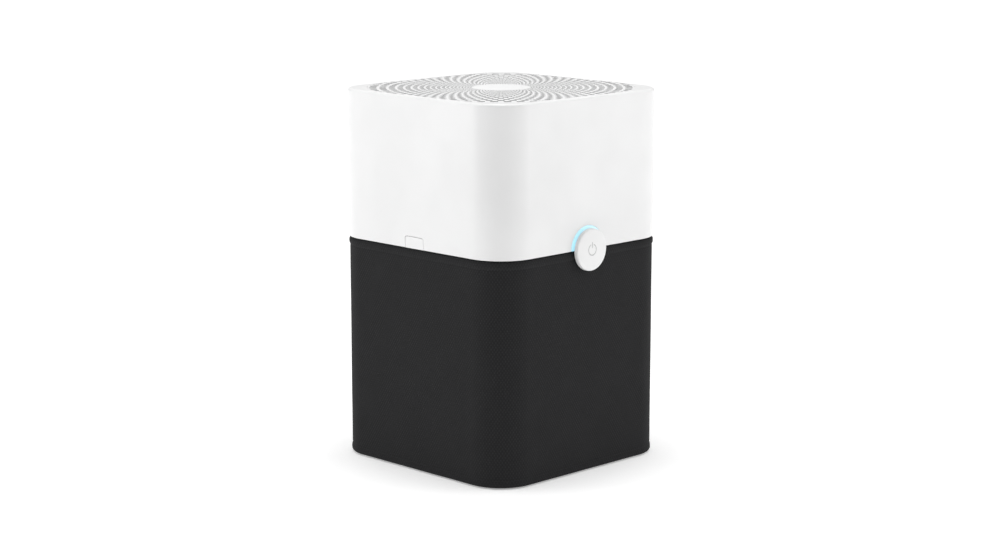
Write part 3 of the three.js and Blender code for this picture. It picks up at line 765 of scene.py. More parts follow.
# The grille's slots follow rings that shrink in a constant ratio towards the middle.
SLOTS_ROUND = 64
RING_STEP = 0.0795  # natural logarithm of the ratio from one ring to the next
OUTER_RING = 199.8  # the first ring, which the outline of the field trims
SLOT_RINGS = 20
FIELD_HALF = 158.5
SLOT_SHARE_ROUND = 0.31  # half a slot's width and depth, as shares of its pitch each way
SLOT_SHARE_OUT = 0.375
PLATE_TOP = HEIGHT - 0.2
PLATE_LOW = PLATE_TOP - 6.3


def grille(finish):
    """A flat white plate pierced by rings of small slots, every other ring half a slot round."""
    edge = GRILLE_HALF - GRILLE_GAP, GRILLE_CORNER - GRILLE_GAP
    plate = square("outlet_grille", *edge, PLATE_LOW, PLATE_TOP, 32)
    rounded(plate, level(PLATE_TOP), 0.4, 2)
    flange = square("flange", HALF - WALL - 1, CORNER - WALL - 1, 510.3, 513.6)
    carved(plate, flange, operation="UNION")

    ring_depth = OUTER_RING * (1 - math.exp(-RING_STEP))
    middle = OUTER_RING - ring_depth / 2
    half_depth = SLOT_SHARE_OUT * ring_depth
    half_width = SLOT_SHARE_ROUND * TURN / SLOTS_ROUND * middle
    slots = block(
        "slots",
        (middle - half_depth, -half_width, 500),
        (middle + half_depth, half_width, 525),
        corner=0.4 * half_depth,
        steps=2,
    )
    step = bpy.data.objects.new("slot_step", None)
    bpy.context.scene.collection.objects.link(step)
    step.rotation_euler.z = TURN / SLOTS_ROUND
    repeat = {"fit_type": "FIXED_COUNT", "use_relative_offset": False, "use_object_offset": True}
    bpy.context.view_layer.update()
    modified(slots, "ARRAY", count=SLOTS_ROUND, offset_object=step, **repeat)
    step.rotation_euler.z = TURN / SLOTS_ROUND / 2
    shrink = math.exp(-RING_STEP)
    step.scale = (shrink, shrink, 1)
    bpy.context.view_layer.update()
    modified(slots, "ARRAY", count=SLOT_RINGS, offset_object=step, **repeat)
    discard(step)
    field = square("field", FIELD_HALF, GRILLE_CORNER, 490, 530, 32)
    carved(slots, field, operation="INTERSECT")
    carved(plate, slots)
    smooth(plate, 40)
    return fitted(plate, "head", finish, "top_grille", slot="white_shell")


def latch(name, side, body, finish):
    """The tab of a side latch, with its slider, arm and hook in one moulding."""
    half = LATCH_WIDTH / 2
    tab = softened(arched("tab", (-half, 0, -2.6), (half, LATCH_HEIGHT, 0), 3.2), 0.35)
    slider = softened(block("slider", (-12, 5, -12.6), (12, 13, -2.1)), 0.5)
    arm = softened(block("arm", (-12, -11.5, -9.6), (12, 12.5, -6.4)), 0.5)
    hook = softened(block("hook", (-12, -11.4, -7), (12, -7.4, -4.3)), 0.6)
    carved(tab, slider, arm, hook, operation="UNION")
    moved(tab, on_side(side, SEAM))
    tab.name = f"{name}_moulding"
    smooth(tab)
    return fitted(tab, body, finish, name, slot="white_shell")


# ---- button ------------------------------------------------------------------------------------
CAP_FACE = CAP_FRONT - 0.12  # the middle of its dome
STROKE = 1.5  # width of the lines of the printed sign


def button_cap(finish):
    """A shallow domed cap on a skirt, with a plunger behind it."""
    face = CAP_FACE
    crown = [
        (0, face),
        (10, face - 0.05),
        (18, face - 0.15),
        (24, face - 0.3),
        (27, face - 0.5),
        (27.9, face - 0.8),
        (28.5, face - 1.3),
        (28.85, face - 1.9),
        (BUTTON_RADIUS, face - 2.7),
        (BUTTON_RADIUS, CAP_BACK + 0.4),
        (BUTTON_RADIUS - 0.4, CAP_BACK),
        (BUTTON_RADIUS - 1.8, CAP_BACK),
        (BUTTON_RADIUS - 2.2, CAP_BACK + 0.4),
        (BUTTON_RADIUS - 2.4, CAP_FRONT - 2.9),
        (0, CAP_FRONT - 2.9),
    ]
    cap = turned("button_cap_moulding", crown, 96)
    plunger = drum("plunger", 2.4, -8.6, CAP_FRONT - 2, 0, BUTTON_AXIS, 24)
    carved(cap, plunger, operation="UNION")
    smooth(moved(cap, on_side(0, SEAM)), 30)
    return fitted(cap, "button", finish, "button_cap", slot="white_shell")


def power_sign(ink):
    """A ring with a gap and a bar in it, printed on the cap."""
    low, high = CAP_FACE - 0.35, CAP_FACE + 0.03
    radius = 8.2
    ring = [(radius - STROKE, low), (radius, low), (radius, high), (radius - STROKE, high)]
    sign = turned("power_sign", ring + ring[:1], 64)
    carved(sign, block("gap", (-2.6, 0, 0), (2.6, 20, 20)))
    stem = block("stem", (-STROKE / 2, 2, low), (STROKE / 2, 10.5, high), 0.7, 3)
    carved(sign, stem, operation="UNION")
    smooth(moved(sign, on_side(0, SEAM)))
    return fitted(sign, "button", ink, slot="terminals")


def light_ring(finish):
    """Half a ring of light guide that fills the shell's notch and glows round the cap's edge."""
    outer = BUTTON_RADIUS + 3
    outline = [
        (24.4, -2.5),
        (outer, -2.5),
        (outer, -0.9),
        (outer - 0.3, -0.3),
        (outer - 1, -0.05),
        (outer - 2, 0),
        (25, 0),
        (24.4, -0.5),
        (24.4, -2.5),
    ]
    ring = turned("light_guide", outline, 96)
    keep = block("keep", (-40, 0.4, -10), (40, 40, 10))
    carved(ring, keep, operation="INTERSECT")
    smooth(moved(ring, on_side(0, SEAM)))
    return fitted(ring, "head", finish, "light_ring", slot="light")


# ---- paths and tubes ---------------------------------------------------------------------------
def girth(half, corner):
    """The way round a rounded square."""
    return 4 * (2 * (half - corner) + corner * TURN / 4)


def path_on(half, corner, share):
    """A point a share of the way round a rounded square, and the direction outwards there."""
    straight = 2 * (half - corner)
    arc = corner * TURN / 4
    side, rest = divmod(share % 1 * 4, 1)
    run = rest * (straight + arc)
    turn = Matrix.Rotation(side * TURN / 4, 2)
    if run < straight:
        return turn @ Vector((run - straight / 2, -half)), turn @ Vector((0, -1))
    angle = (run - straight) / corner
    out = Vector((math.sin(angle), -math.cos(angle)))
    return turn @ (Vector((straight / 2, -straight / 2)) + out * corner), turn @ out


def tube_of(name, loops, heights):
    """A tube of quads through loops of flat points, one loop for each height."""
    count = len(loops[0])
    vertices = [mm(*point, z) for loop, z in zip(loops, heights) for point in loop]
    faces = []
    for row in range(len(loops) - 1):
        low, high = row * count, (row + 1) * count
        for here in range(count):
            after = (here + 1) % count
            faces.append((low + here, low + after, high + after, high + here))
    mesh = bpy.data.meshes.new(name)
    mesh.from_pydata(vertices, [], faces)
    piece = bpy.data.objects.new(name, mesh)
    bpy.context.scene.collection.objects.link(piece)
    return piece


# ---- fabric sleeve -----------------------------------------------------------------------------
SLEEVE_HALF = 165.15
SLEEVE_CORNER = CORNER - 0.85
PERIMETER_STEPS = 320
SLEEVE_STEPS = 96
CLOTH = 1.1


def swell(distance, middle, reach, power):
    """1 in the middle of a band of cloth, falling to 0 outside its reach."""
    return math.exp(-(((distance - middle) / reach) ** power))


def sleeve_bulge(height, run):
    """How far the cloth stands out from its even face at a height and a place round it."""
    from_top = SLEEVE_TOP - height
    from_bottom = height - SLEEVE_BOTTOM
    hem_top = 1.25 * swell(from_top, 5.5, 4.2, 4)
    hem_bottom = 0.9 * swell(from_bottom, 5, 4.4, 4)
    tuck = -0.5 * swell(from_top, 11.4, 1.1, 2)
    tuck_low = -0.45 * swell(from_bottom, 10.9, 1.1, 2)
    edge = -1.6 * math.exp(-from_top / 0.9) - 1.6 * math.exp(-from_bottom / 0.9)
    ripple = 0.12 * math.sin(run / 11 + 1.3 * math.sin(run / 37))
    ripple *= math.exp(-from_top / 22) + math.exp(-from_bottom / 26)
    slack = 0.14 * math.sin(run / 83 + height / 61) * math.sin(height / 47 + 0.8)
    return hem_top + hem_bottom + tuck + tuck_low + edge + ripple + slack


def sleeve(finish):
    """One tube of cloth pulled over the cage, with a doubled hem at its top and bottom."""
    total = girth(SLEEVE_HALF, SLEEVE_CORNER)
    heights = []
    for index in range(SLEEVE_STEPS + 1):
        t = index / SLEEVE_STEPS
        ease = t - 0.95 * math.sin(TURN * t) / TURN
        heights.append(SLEEVE_BOTTOM + (SLEEVE_TOP - SLEEVE_BOTTOM) * ease)
    shares = [index / PERIMETER_STEPS for index in range(PERIMETER_STEPS)]
    even = [(*path_on(SLEEVE_HALF, SLEEVE_CORNER, share), share * total) for share in shares]
    loops = [[point + out * sleeve_bulge(z, run) for point, out, run in even] for z in heights]
    piece = tube_of("fabric_sleeve", loops, heights)
    cloth = piece.data.uv_layers.new(name="cloth")
    for face in piece.data.polygons:
        row, column = divmod(face.index, PERIMETER_STEPS)
        square_of = ((column, row), (column + 1, row), (column + 1, row + 1), (column, row + 1))
        for loop, (across, up) in zip(face.loop_indices, square_of):
            cloth.data[loop].uv = mm(across * total / PERIMETER_STEPS, heights[up])
    modified(piece, "SOLIDIFY", thickness=mm(CLOTH), offset=-1)
    only(piece)
    bpy.ops.object.shade_smooth()
    nodes = "prefilter_sleeve", "prefilter_hem_top", "prefilter_hem_bottom"
    fitted(piece, "prefilter", finish, *nodes, slot="fabric")
    return piece


# ---- base: tray, feet and cage -----------------------------------------------------------------
BASE_HALF = 163.3
BASE_CORNER = 51.3
TRAY_TOP = 26
TRAY_FLOOR = 7
TRAY_WALL = 3.5
FOOT_AT = 120
POST_LOW = 26.3
POST_HIGH = 295.7
POST_WINDOWS = 5
RIM_LOW = 296
QUARTERS = {
    "front_left": (-1, -1),
    "front_right": (1, -1),
    "back_right": (1, 1),
    "back_left": (-1, 1),
}
SIDES = {"front": 0, "right": 1, "back": 2, "left": -1}


def base_tray(finish):
    """A shallow square dish with a locating rib for the cartridge and a grooved underside."""
    tray = square("base_dish", BASE_HALF, BASE_CORNER, 3, TRAY_TOP)
    inner = BASE_HALF - TRAY_WALL, BASE_CORNER - TRAY_WALL
    inside = square("inside", *inner, TRAY_FLOOR, TRAY_TOP + 9)
    groove = square_ring("groove", 141, 30, 3, 1, 4.2)
    inner_groove = square_ring("inner_groove", 96, 24, 3, 1, 4.2)
    recesses = [
        drum("recess", 11.3, 0, 4.5, x * FOOT_AT, y * FOOT_AT) for x, y in QUARTERS.values()
    ]
    carved(tray, inside, groove, inner_groove, *recesses)
    carved(tray, square_ring("rib", 153.5, 43.5, 2, TRAY_FLOOR - 1, 13), operation="UNION")
    smooth(softened(tray, 0.6))
    return fitted(tray, "base", finish, "base_tray", slot="black_frame")


def feet(finish):
    """Round rubber pads with a ring-shaped tread."""
    outline = [
        (0, 0.9),
        (4.4, 0.9),
        (5, 0.1),
        (5.4, 0),
        (7.2, 0),
        (7.5, 0.5),
        (8.3, 0.5),
        (8.6, 0),
        (9.9, 0),
        (10.7, 0.4),
        (11, 1.2),
        (11, 4.2),
        (0, 4.2),
    ]
    model = smooth(turned("pad", outline, 48))
    for where, (x, y) in QUARTERS.items():
        at = Matrix.Translation(mm(x * FOOT_AT, y * FOOT_AT, 0))
        foot = moved(copied(model, f"rubber_{where}"), at)
        fitted(foot, "base", finish, f"foot_{where}", slot="rubber")
    discard(model)


def cage_rim(finish):
    """The stout square rim that carries the head, with a slot and a catch for each latch."""
    rim = square_ring("cage_top_rim", BASE_HALF, BASE_CORNER, 10.3, RIM_LOW, SLEEVE_TOP)
    cuts = []
    for side in (-1, 1):
        cuts.append(side_block("slot", side, 152, 162, 14, RIM_LOW - 5, SLEEVE_TOP + 5))
        cuts.append(side_block("catch", side, 156, 175, 14, RIM_LOW + 2, RIM_LOW + 8.5))
    relief = square_ring("relief", BASE_HALF - 3, BASE_CORNER - 3, 4, RIM_LOW - 5, RIM_LOW + 1.2)
    carved(rim, *cuts, relief)
    smooth(softened(rim, 0.6))
    return fitted(rim, "base", finish, "cage_rim", slot="black_frame")


def cage_posts(finish):
    """Angle posts at the corners, each pierced with a row of windows."""
    model = square_ring("post", BASE_HALF, BASE_CORNER, 5, POST_LOW, POST_HIGH)
    reach = BASE_HALF - 40
    keep = block("keep", (reach, reach, 0), (BASE_HALF + 5, BASE_HALF + 5, 400))
    carved(model, keep, operation="INTERSECT")
    pitch = (POST_HIGH - POST_LOW) / POST_WINDOWS
    diagonal = BASE_HALF - BASE_CORNER * (1 - math.sqrt(0.5))
    for index in range(POST_WINDOWS):
        middle = POST_LOW + (index + 0.5) * pitch
        window = block("window", (-13, -30, -pitch * 0.36), (13, 30, pitch * 0.36))
        rounded(window, along(1), 9, 5)
        at = Matrix.Translation(mm(diagonal, diagonal, middle))
        carved(model, moved(window, at @ about_z(-TURN / 8)))
    smooth(softened(model, 0.5))
    for quarter, (x, y) in QUARTERS.items():
        turn = round(math.degrees(math.atan2(y, x)) - 45)
        post = moved(copied(model, f"cage_angle_{quarter}"), about_z(math.radians(turn)))
        fitted(post, "base", finish, f"cage_post_{quarter}", slot="black_frame")
    discard(model)


def cage_stiles(finish):
    """A grooved stile down the middle of each side."""
    model = block("stile", (-6, -BASE_HALF, POST_LOW), (6, -BASE_HALF + 5, POST_HIGH))
    groove = block("groove", (-3, -BASE_HALF + 3.2, 45), (3, -BASE_HALF + 9, 277))
    carved(model, groove)
    smooth(softened(model, 0.5))
    for where, side in SIDES.items():
        stile = moved(copied(model, f"cage_bar_{where}"), about_z(side * TURN / 4))
        fitted(stile, "base", finish, f"cage_stile_{where}", slot="black_frame")
    discard(model)


# ---- filter cartridge --------------------------------------------------------------------------
FILTER_HALF = 150
FILTER_CORNER = 40
MEDIA_LOW = 12.6
MEDIA_HIGH = 294.7
PLEATS = 96
PLEAT_DEPTH = 37
PLEAT_OUTER = 146.2


def media_layer(name, node, loop, rows, thickness, finish, slot, **lie):
    """A sheet as high as the media, which follows a closed line of flat points."""
    high = MEDIA_HIGH - MEDIA_LOW
    heights = [MEDIA_LOW + high * row / rows for row in range(rows + 1)]
    layer = tube_of(name, [loop] * (rows + 1), heights)
    modified(layer, "SOLIDIFY", thickness=mm(thickness), offset=-1)
    smooth(layer, 50)
    fitted(layer, "filter", finish, node, slot=slot)


def pleated_media(finish):
    """One long strip of filter paper, folded into upright pleats round the clean core."""
    steps = 10
    loop = []
    for index in range(PLEATS * steps):
        share = index / PLEATS / steps
        outer, _ = path_on(PLEAT_OUTER, FILTER_CORNER - 3, share)
        inner, _ = path_on(PLEAT_OUTER - PLEAT_DEPTH, 4, share)
        depth = 1 - abs(2 * (index % steps / steps) - 1)
        loop.append(outer.lerp(inner, depth))
    lie = {"held": "folded", "rests_on": ["filter_frame_bottom"]}
    media_layer("pleated_paper", "filter_media", loop, 6, 0.5, finish, "filter_media", **lie)


def carbon_wrap(finish):
    """A thin sheet of carbon-coated fleece round the pleats, which press faint ridges into it."""
    steps = 6
    loop = []
    for index in range(PLEATS * steps):
        share = index / (PLEATS * steps)
        point, out = path_on(FILTER_HALF - 1.2, FILTER_CORNER - 1.2, share)
        loop.append(point - out * 0.5 * (0.5 + 0.5 * math.cos(TURN * index / steps)))
    lie = {"held": "stretched", "rests_on": ["pleated_paper"]}
    media_layer("carbon_fleece", "filter_carbon_wrap", loop, 4, 1.2, finish, "carbon", **lie)


def filter_frames(finish):
    """The moulded end frames: a ribbed dish below, and an open ring above."""
    low = square("filter_end_lower", FILTER_HALF, FILTER_CORNER, 7.3, 12.3)
    lip = square_ring("lip", FILTER_HALF, FILTER_CORNER, 0.8, 12, 20)
    carved(low, lip, operation="UNION")
    dish = square("dish", 98, 22, 11.2, 14)
    carved(low, dish)
    for angle in range(4):
        rib = block("rib", (-98, -1.2, 10.5), (98, 1.2, 12.3))
        carved(low, moved(rib, about_z(angle * TURN / 8)), operation="UNION")
    smooth(softened(low, 0.25))
    fitted(low, "filter", finish, "filter_frame_bottom", slot="white_shell")

    high = square_ring("filter_end_upper", FILTER_HALF, FILTER_CORNER, 43.3, 295, 300)
    skirt = square_ring("skirt", FILTER_HALF, FILTER_CORNER, 0.8, 287, 295.3)
    inner_lip = square_ring("inner_lip", 107.5, 4, 0.8, 289, 295.3)
    carved(high, skirt, inner_lip, operation="UNION")
    smooth(softened(high, 0.3))
    fitted(high, "filter", finish, "filter_frame_top", slot="white_shell")


def foam_seal(foam):
    """The square band of foam that the head presses down on."""
    seal = square_ring("foam_seal", 146, 36, 14, 300.3, 310)
    smooth(rounded(seal, level(310), 2.6, 4))
    fitted(seal, "filter", foam, "filter_gasket", slot="foam")


def pull_strap(strap):
    """The flat strap that lifts the cartridge out."""
    tab = block("pull_strap", (-15, -131, 300.4), (15, -59, 301.6), 5)
    smooth(rounded(tab, level(301.6), 0.35, 2))
    fitted(tab, "filter", strap, "filter_pull_tab", slot="fabric")


# ---- head: intake, duct and vanes --------------------------------------------------------------
INTAKE_LOW = 310.3
INTAKE_HIGH = 315
INTAKE_BORE = 125
SCREW_AT = 132
SCREW_HOLE = 2.3
LATCH_ROOM = 19.5  # half the width of the notches that clear a latch
DUCT = 131  # radius of the bore that the fan turns in
DUCT_RIBS = 12
FLANGE_LOW = 315.3
VANES = 7
PLATE_HALF = 162.6
PLATE_CORNER = 50.6


def intake_plate(finish):
    """The flat plate under the head, with a chamfered bore and two grooves that the seal grips."""
    plate = square("intake_panel", PLATE_HALF, PLATE_CORNER, INTAKE_LOW, INTAKE_HIGH)
    chamfer = [(INTAKE_BORE + 3, 305), (INTAKE_BORE + 3, INTAKE_LOW), (INTAKE_BORE, INTAKE_LOW + 3)]
    cone = turned("bore", [(0, 305), *chamfer, (INTAKE_BORE, 320), (0, 320)], 128)
    grooves = [
        square_ring("groove", 147.5, 37.5, 1.4, 305, INTAKE_LOW + 0.8),
        square_ring("groove", 131.8, 22, 1.4, 305, INTAKE_LOW + 0.8),
    ]
    holes = []
    for x, y in QUARTERS.values():
        holes.append(drum("hole", SCREW_HOLE, 300, 320, x * SCREW_AT, y * SCREW_AT, 24))
        holes.append(drum("sink", 4.5, 300, INTAKE_LOW + 2.7, x * SCREW_AT, y * SCREW_AT, 32))
    for side in (-1, 1):
        holes.append(side_block("notch", side, 151.6, 170, LATCH_ROOM, 300, 330))
    carved(plate, cone, *grooves, *holes)
    smooth(softened(plate, 0.3))
    return fitted(plate, "head", finish, "intake_plate", slot="black_frame")


def intake_guard(finish):
    """Round bars on six spokes that keep fingers out of the fan, with a domed middle."""
    low, high = INTAKE_LOW + 0.4, INTAKE_HIGH - 0.4
    centre = (low + high) / 2
    half = (high - low) / 2
    bars = [(INTAKE_BORE - 1.9, 1.5)] + [(radius, 1.1) for radius in range(46, 117, 10)]
    dome = [
        (0, high - 0.4),
        (20, high - 0.4),
        (33, high - 1),
        (36, high - 2),
        (36, low + 0.6),
        (35, low),
        (26, low + 0.2),
        (24, low + 1),
        (0, low + 1),
    ]
    guard = turned("finger_guard", dome, 64)
    for radius, reach in bars:
        outline = [
            (radius + reach * math.cos(a), centre + half * 0.95 * math.sin(a))
            for a in [TURN * step / 8 for step in range(8)]
        ]
        carved(guard, turned("bar", outline + outline[:1], 96), operation="UNION")
    reach = INTAKE_BORE - 2
    for index in range(3):
        spoke = block("spoke", (-reach, -1.5, low + 0.1), (reach, 1.5, high - 0.1))
        carved(guard, moved(spoke, about_z(index * TURN / 6)), operation="UNION")
    smooth(guard)
    return fitted(guard, "head", finish, "intake_guard", slot="black_frame")


def fan_frame(finish):
    """A flange and a tall round duct in one moulding, with ribs, screw bosses and spring stops."""
    frame = square("fan_duct", PLATE_HALF, PLATE_CORNER, FLANGE_LOW, 318)
    duct = turned(
        "duct",
        [(DUCT - 2, FLANGE_LOW), (DUCT + 3, FLANGE_LOW), (DUCT + 3, 480), (DUCT + 4.2, 481)]
        + [(DUCT + 4.2, 485.4), (DUCT + 3.6, 486), (DUCT - 2, 486), (DUCT - 2, FLANGE_LOW)],
        128,
    )
    carved(frame, duct, operation="UNION")

    def top_outer(mesh, edge):
        ends = corners(mesh, edge)
        return along(1)(mesh, edge) and all(co.z > mm(469) and co.x > mm(DUCT + 6) for co in ends)

    for index in range(DUCT_RIBS):
        rib = block("rib", (DUCT + 1, -1, 316), (DUCT + 7, 1, 470))
        rounded(rib, top_outer, 5.5, 1)
        turn = about_z((index + 0.5) * TURN / DUCT_RIBS)
        carved(frame, moved(rib, turn), operation="UNION")
    bosses = [
        drum("boss", 6, FLANGE_LOW, 334, x * SCREW_AT, y * SCREW_AT, 32)
        for x, y in QUARTERS.values()
    ]
    carved(frame, *bosses, operation="UNION")
    cuts = [drum("bore", DUCT, 300, 500, sides=128)]
    for x, y in QUARTERS.values():
        cuts.append(drum("hole", SCREW_HOLE, 300, 332, x * SCREW_AT, y * SCREW_AT, 24))
    for side in (-1, 1):
        cuts.append(side_block("notch", side, 141, 175, LATCH_ROOM, 300, 340))
    cuts.append(block("front_notch", (-40, -180, 300), (40, -146, 340)))
    carved(frame, *cuts)
    for side in (-1, 1):
        stop = side_block("stop", side, 137.9, 140.9, 7, FLANGE_LOW, 327)
        carved(frame, stop, operation="UNION")
    smooth(softened(frame, 0.35))
    return fitted(frame, "head", finish, "fan_frame", slot="black_frame")


def guide_vanes(finish):
    """Seven fixed vanes between a ring in the duct and a ring round the motor's cup."""
    outer = [(127.5, 441), (129, 440), (130.7, 440), (130.7, 484), (129, 484), (127.5, 483)]
    inner = [(44.3, 440), (46.2, 440), (46.9, 441), (46.9, 479), (46.2, 480), (44.3, 480)]
    stator = turned("air_guide", outer + outer[:1], 128)
    carved(stator, turned("hub", inner + inner[:1], 64), operation="UNION")
    for index in range(VANES):
        vane = block("vane", (45.8, -1.2, 444), (129, 1.2, 478))
        shaped(vane, "EDGE", everything, (bpy.ops.mesh.subdivide, {"number_cuts": 6}))
        bend = {"deform_method": "BEND", "deform_axis": "X", "angle": math.radians(38)}
        modified(vane, "SIMPLE_DEFORM", **bend)
        settle(vane, (45.8, 444), (129, 478))
        turn = about_z(index * TURN / VANES + 0.13)
        carved(stator, moved(vane, turn), operation="UNION")
    smooth(stator)
    return fitted(stator, "head", finish, "guide_vanes", slot="black_frame")


def settle(piece, low, high):
    """Stretches a piece along X and Z until it fills the given (x, z) corners."""
    for axis, start, end in ((0, low[0], high[0]), (2, low[1], high[1])):
        values = [vertex.co[axis] for vertex in piece.data.vertices]
        lowest, highest = min(values), max(values)
        size = [1, 1, 1]
        size[axis] = mm(end - start) / (highest - lowest)
        shift = [0, 0, 0]
        shift[axis] = mm(start) - lowest * size[axis]
        grow = Matrix.Diagonal(size).to_4x4()
        moved(piece, Matrix.Translation(shift) @ grow)
    return piece


# ---- head: motor and fan -----------------------------------------------------------------------
SHAFT = 4  # radius
SHAFT_BORE = 4.3
CAP_BORE = 8.3
CORE_LOW = 400
CORE_HIGH = 428
CORE_SHEETS = 16
COILS = 8
BLADES = 7
BLADE_ROOT = 48.5
BLADE_TIP = 126.5


def motor_cup(finish):
    """The open-ended cup in the middle of the vanes that the motor sits in."""
    cup = turned(
        "motor_holder",
        [(12, 444.3), (41.2, 444.3), (41.2, 425.6), (41.8, 425), (43.4, 425), (44, 425.8), (44, 479.2)]
        + [(43.3, 480), (41.9, 480), (41.2, 479.3), (41.2, 448.3), (40.2, 447.3), (12, 447.3)]
        + [(12, 444.3)],
    )
    holes = [
        drum("hole", 2.2, 440, 450, 26 * math.cos(a), 26 * math.sin(a), 20)
        for a in [TURN * step / 4 for step in range(4)]
    ]
    carved(cup, *holes)
    fitted(smooth(cup), "head", finish, "motor_cup", slot="black_frame")


def motor_case(zinc):
    """A pressed can with a ring of vents, and the lid that closes it."""
    can = turned(
        "motor_case",
        [(CAP_BORE, 385), (14, 385), (15, 386), (36, 386), (39, 387), (40, 389), (40, 396), (39.6, 396.4)]
        + [(39.6, 431), (40, 431.4), (40, 443.4), (39.6, 444), (38.2, 444), (38.2, 389.5), (36.5, 388)]
        + [(CAP_BORE, 388), (CAP_BORE, 385)],
    )
    vents = []
    for index in range(8):
        vent = block("vent", (20, -2.2, 380), (33, 2.2, 392), 2)
        vents.append(moved(vent, about_z((index + 0.5) * TURN / 8)))
    carved(can, *vents)
    fitted(smooth(can), "head", zinc, "motor_can", slot="zinc")

    cap = turned(
        "motor_lid",
        [(CAP_BORE, 440), (37.9, 440), (37.9, 443.6), (37.5, 444), (30, 444), (29, 443), (16, 443)]
        + [(15, 444), (CAP_BORE, 444), (CAP_BORE, 440)],
    )
    fitted(smooth(cap), "head", zinc, "motor_end_cap", slot="zinc")


def laminated_core(core):
    """A stack of thin steel rings with their edges showing."""
    pitch = (CORE_HIGH - CORE_LOW) / CORE_SHEETS
    edge = []
    for index in range(CORE_SHEETS):
        start = CORE_LOW + index * pitch
        end = start + pitch - 0.2
        edge += [(37.2, start), (37.5, start + 0.2), (37.5, end - 0.2), (37.2, end)]
    outline = [(23, CORE_LOW), *edge, (23, CORE_HIGH - 0.2), (23, CORE_LOW)]
    stack = turned("laminated_core", outline, 48)
    fitted(smooth(stack), "head", core, "motor_stator", slot="steel")


def motor_windings(copper):
    """The ends of the coils, which bulge out below and above the core."""
    bundles = []
    for start in (391, 428.4):
        for index in range(COILS):
            bpy.ops.mesh.primitive_torus_add(
                major_radius=mm(6.2),
                minor_radius=mm(2.1),
                major_segments=24,
                minor_segments=10,
                location=mm(30, 0, start + 4.2),
            )
            bundle = added("bundle")
            stretch = Matrix.Diagonal((0.8, 1.35, 1.6, 1))
            centre = Matrix.Translation(mm(30, 0, start + 4.2))
            turn = about_z(index * TURN / COILS)
            bundles.append(moved(bundle, turn @ centre @ stretch @ centre.inverted()))
    windings = smooth(joined("motor_windings", *bundles))
    fitted(windings, "head", copper, slot="copper")


def bearings(steel):
    """A ball race at each end of the motor, with its shield let in."""
    for name, start in (("lower", 385.2), ("upper", 439)):
        end = start + 4.8
        low, high = start + 0.4, end - 0.4
        race = turned(
            f"ball_race_{name}",
            [(SHAFT_BORE, start), (5.3, start), (5.6, low), (6.7, low), (7, start), (8, start)]
            + [(8, end), (7, end), (6.7, high), (5.6, high), (5.3, end), (SHAFT_BORE, end)]
            + [(SHAFT_BORE, start)],
            48,
        )
        fitted(smooth(race), "head", steel, f"bearing_{name}", slot="steel")


def rotor_core(zinc):
    """The drum that turns inside the laminated core, stepped at both ends."""
    cage = turned(
        "rotor_core",
        [(SHAFT_BORE, 400), (17, 400), (18, 401), (21, 401), (22, 402), (22, 426), (21, 427)]
        + [(18, 427), (17, 428), (SHAFT_BORE, 428), (SHAFT_BORE, 400)],
    )
    fitted(smooth(cage), "rotor", zinc, "motor_rotor", slot="zinc")


def fan_shaft(steel):
    """A long shaft with a thread at its foot for the fan's nut."""
    threads = []
    for index in range(8):
        start = 342.2 + index
        threads += [(SHAFT, start), (3.6, start + 0.5)]
    ends = [(0, 341), (3.3, 341), (SHAFT, 341.8)], [(SHAFT, 444.4), (3.4, 445), (0, 445)]
    shaft = turned("fan_shaft", [*ends[0], *threads, (SHAFT, 350.2), *ends[1]], 32)
    fitted(smooth(shaft), "rotor", steel, "motor_shaft", slot="steel")


def impeller(finish):
    """A cup-shaped hub with seven twisted blades."""
    hub = [
        (SHAFT_BORE, 350),
        (30, 350),
        (42, 351.5),
        (48, 355),
        (50, 360),
        (50, 411.5),
        (49.5, 412),
        (47.5, 412),
        (47, 411.5),
        (47, 361),
        (45, 357),
        (40, 354),
        (30, 353),
        (10, 353),
        (10, 380),
        (SHAFT_BORE, 380),
        (SHAFT_BORE, 350),
    ]
    fan = turned("fan_wheel", hub, 96)

    def edges_of_blade(mesh, edge):
        return all(abs(co.y) > mm(35.9) for co in corners(mesh, edge))

    thin = {"value": (1, 1, 0.35)}
    taper = {"deform_method": "TAPER", "deform_axis": "X", "factor": 0.28}
    twist = {"deform_method": "TWIST", "deform_axis": "X", "angle": math.radians(-22)}
    pitch = Matrix.Rotation(math.radians(-36), 4, "X")
    lift = Matrix.Translation(mm(0, 0, 381))
    for index in range(BLADES):
        blade = block("blade", (BLADE_ROOT, -36, -1.2), (BLADE_TIP, 36, 1.2))
        shaped(blade, "EDGE", everything, (bpy.ops.mesh.subdivide, {"number_cuts": 8}))
        shaped(blade, "EDGE", edges_of_blade, (bpy.ops.transform.resize, thin))
        modified(blade, "SIMPLE_DEFORM", **taper)
        modified(blade, "SIMPLE_DEFORM", **twist)
        moved(blade, lift @ pitch)
        reach = turned("reach", [(0, 340), (BLADE_TIP, 340), (BLADE_TIP, 420), (0, 420)], 96)
        carved(blade, reach, operation="INTERSECT")
        carved(fan, moved(blade, about_z(index * TURN / BLADES)), operation="UNION")
    smooth(fan)
    fitted(fan, "rotor", finish, "impeller", slot="fan")


def impeller_nut(zinc):
    """A hexagon nut with its corners turned off, under the fan."""
    nut = drum("fan_nut", 7.5, 343, 349.7, sides=6)
    cone = turned("cone", [(0, 342.6), (6.2, 342.6), (8.8, 346), (8.8, 351), (0, 351)], 48)
    carved(nut, cone, operation="INTERSECT")
    carved(nut, drum("bore", SHAFT_BORE, 340, 352, sides=32))
    smooth(nut)
    fitted(nut, "rotor", zinc, "impeller_nut", slot="zinc")


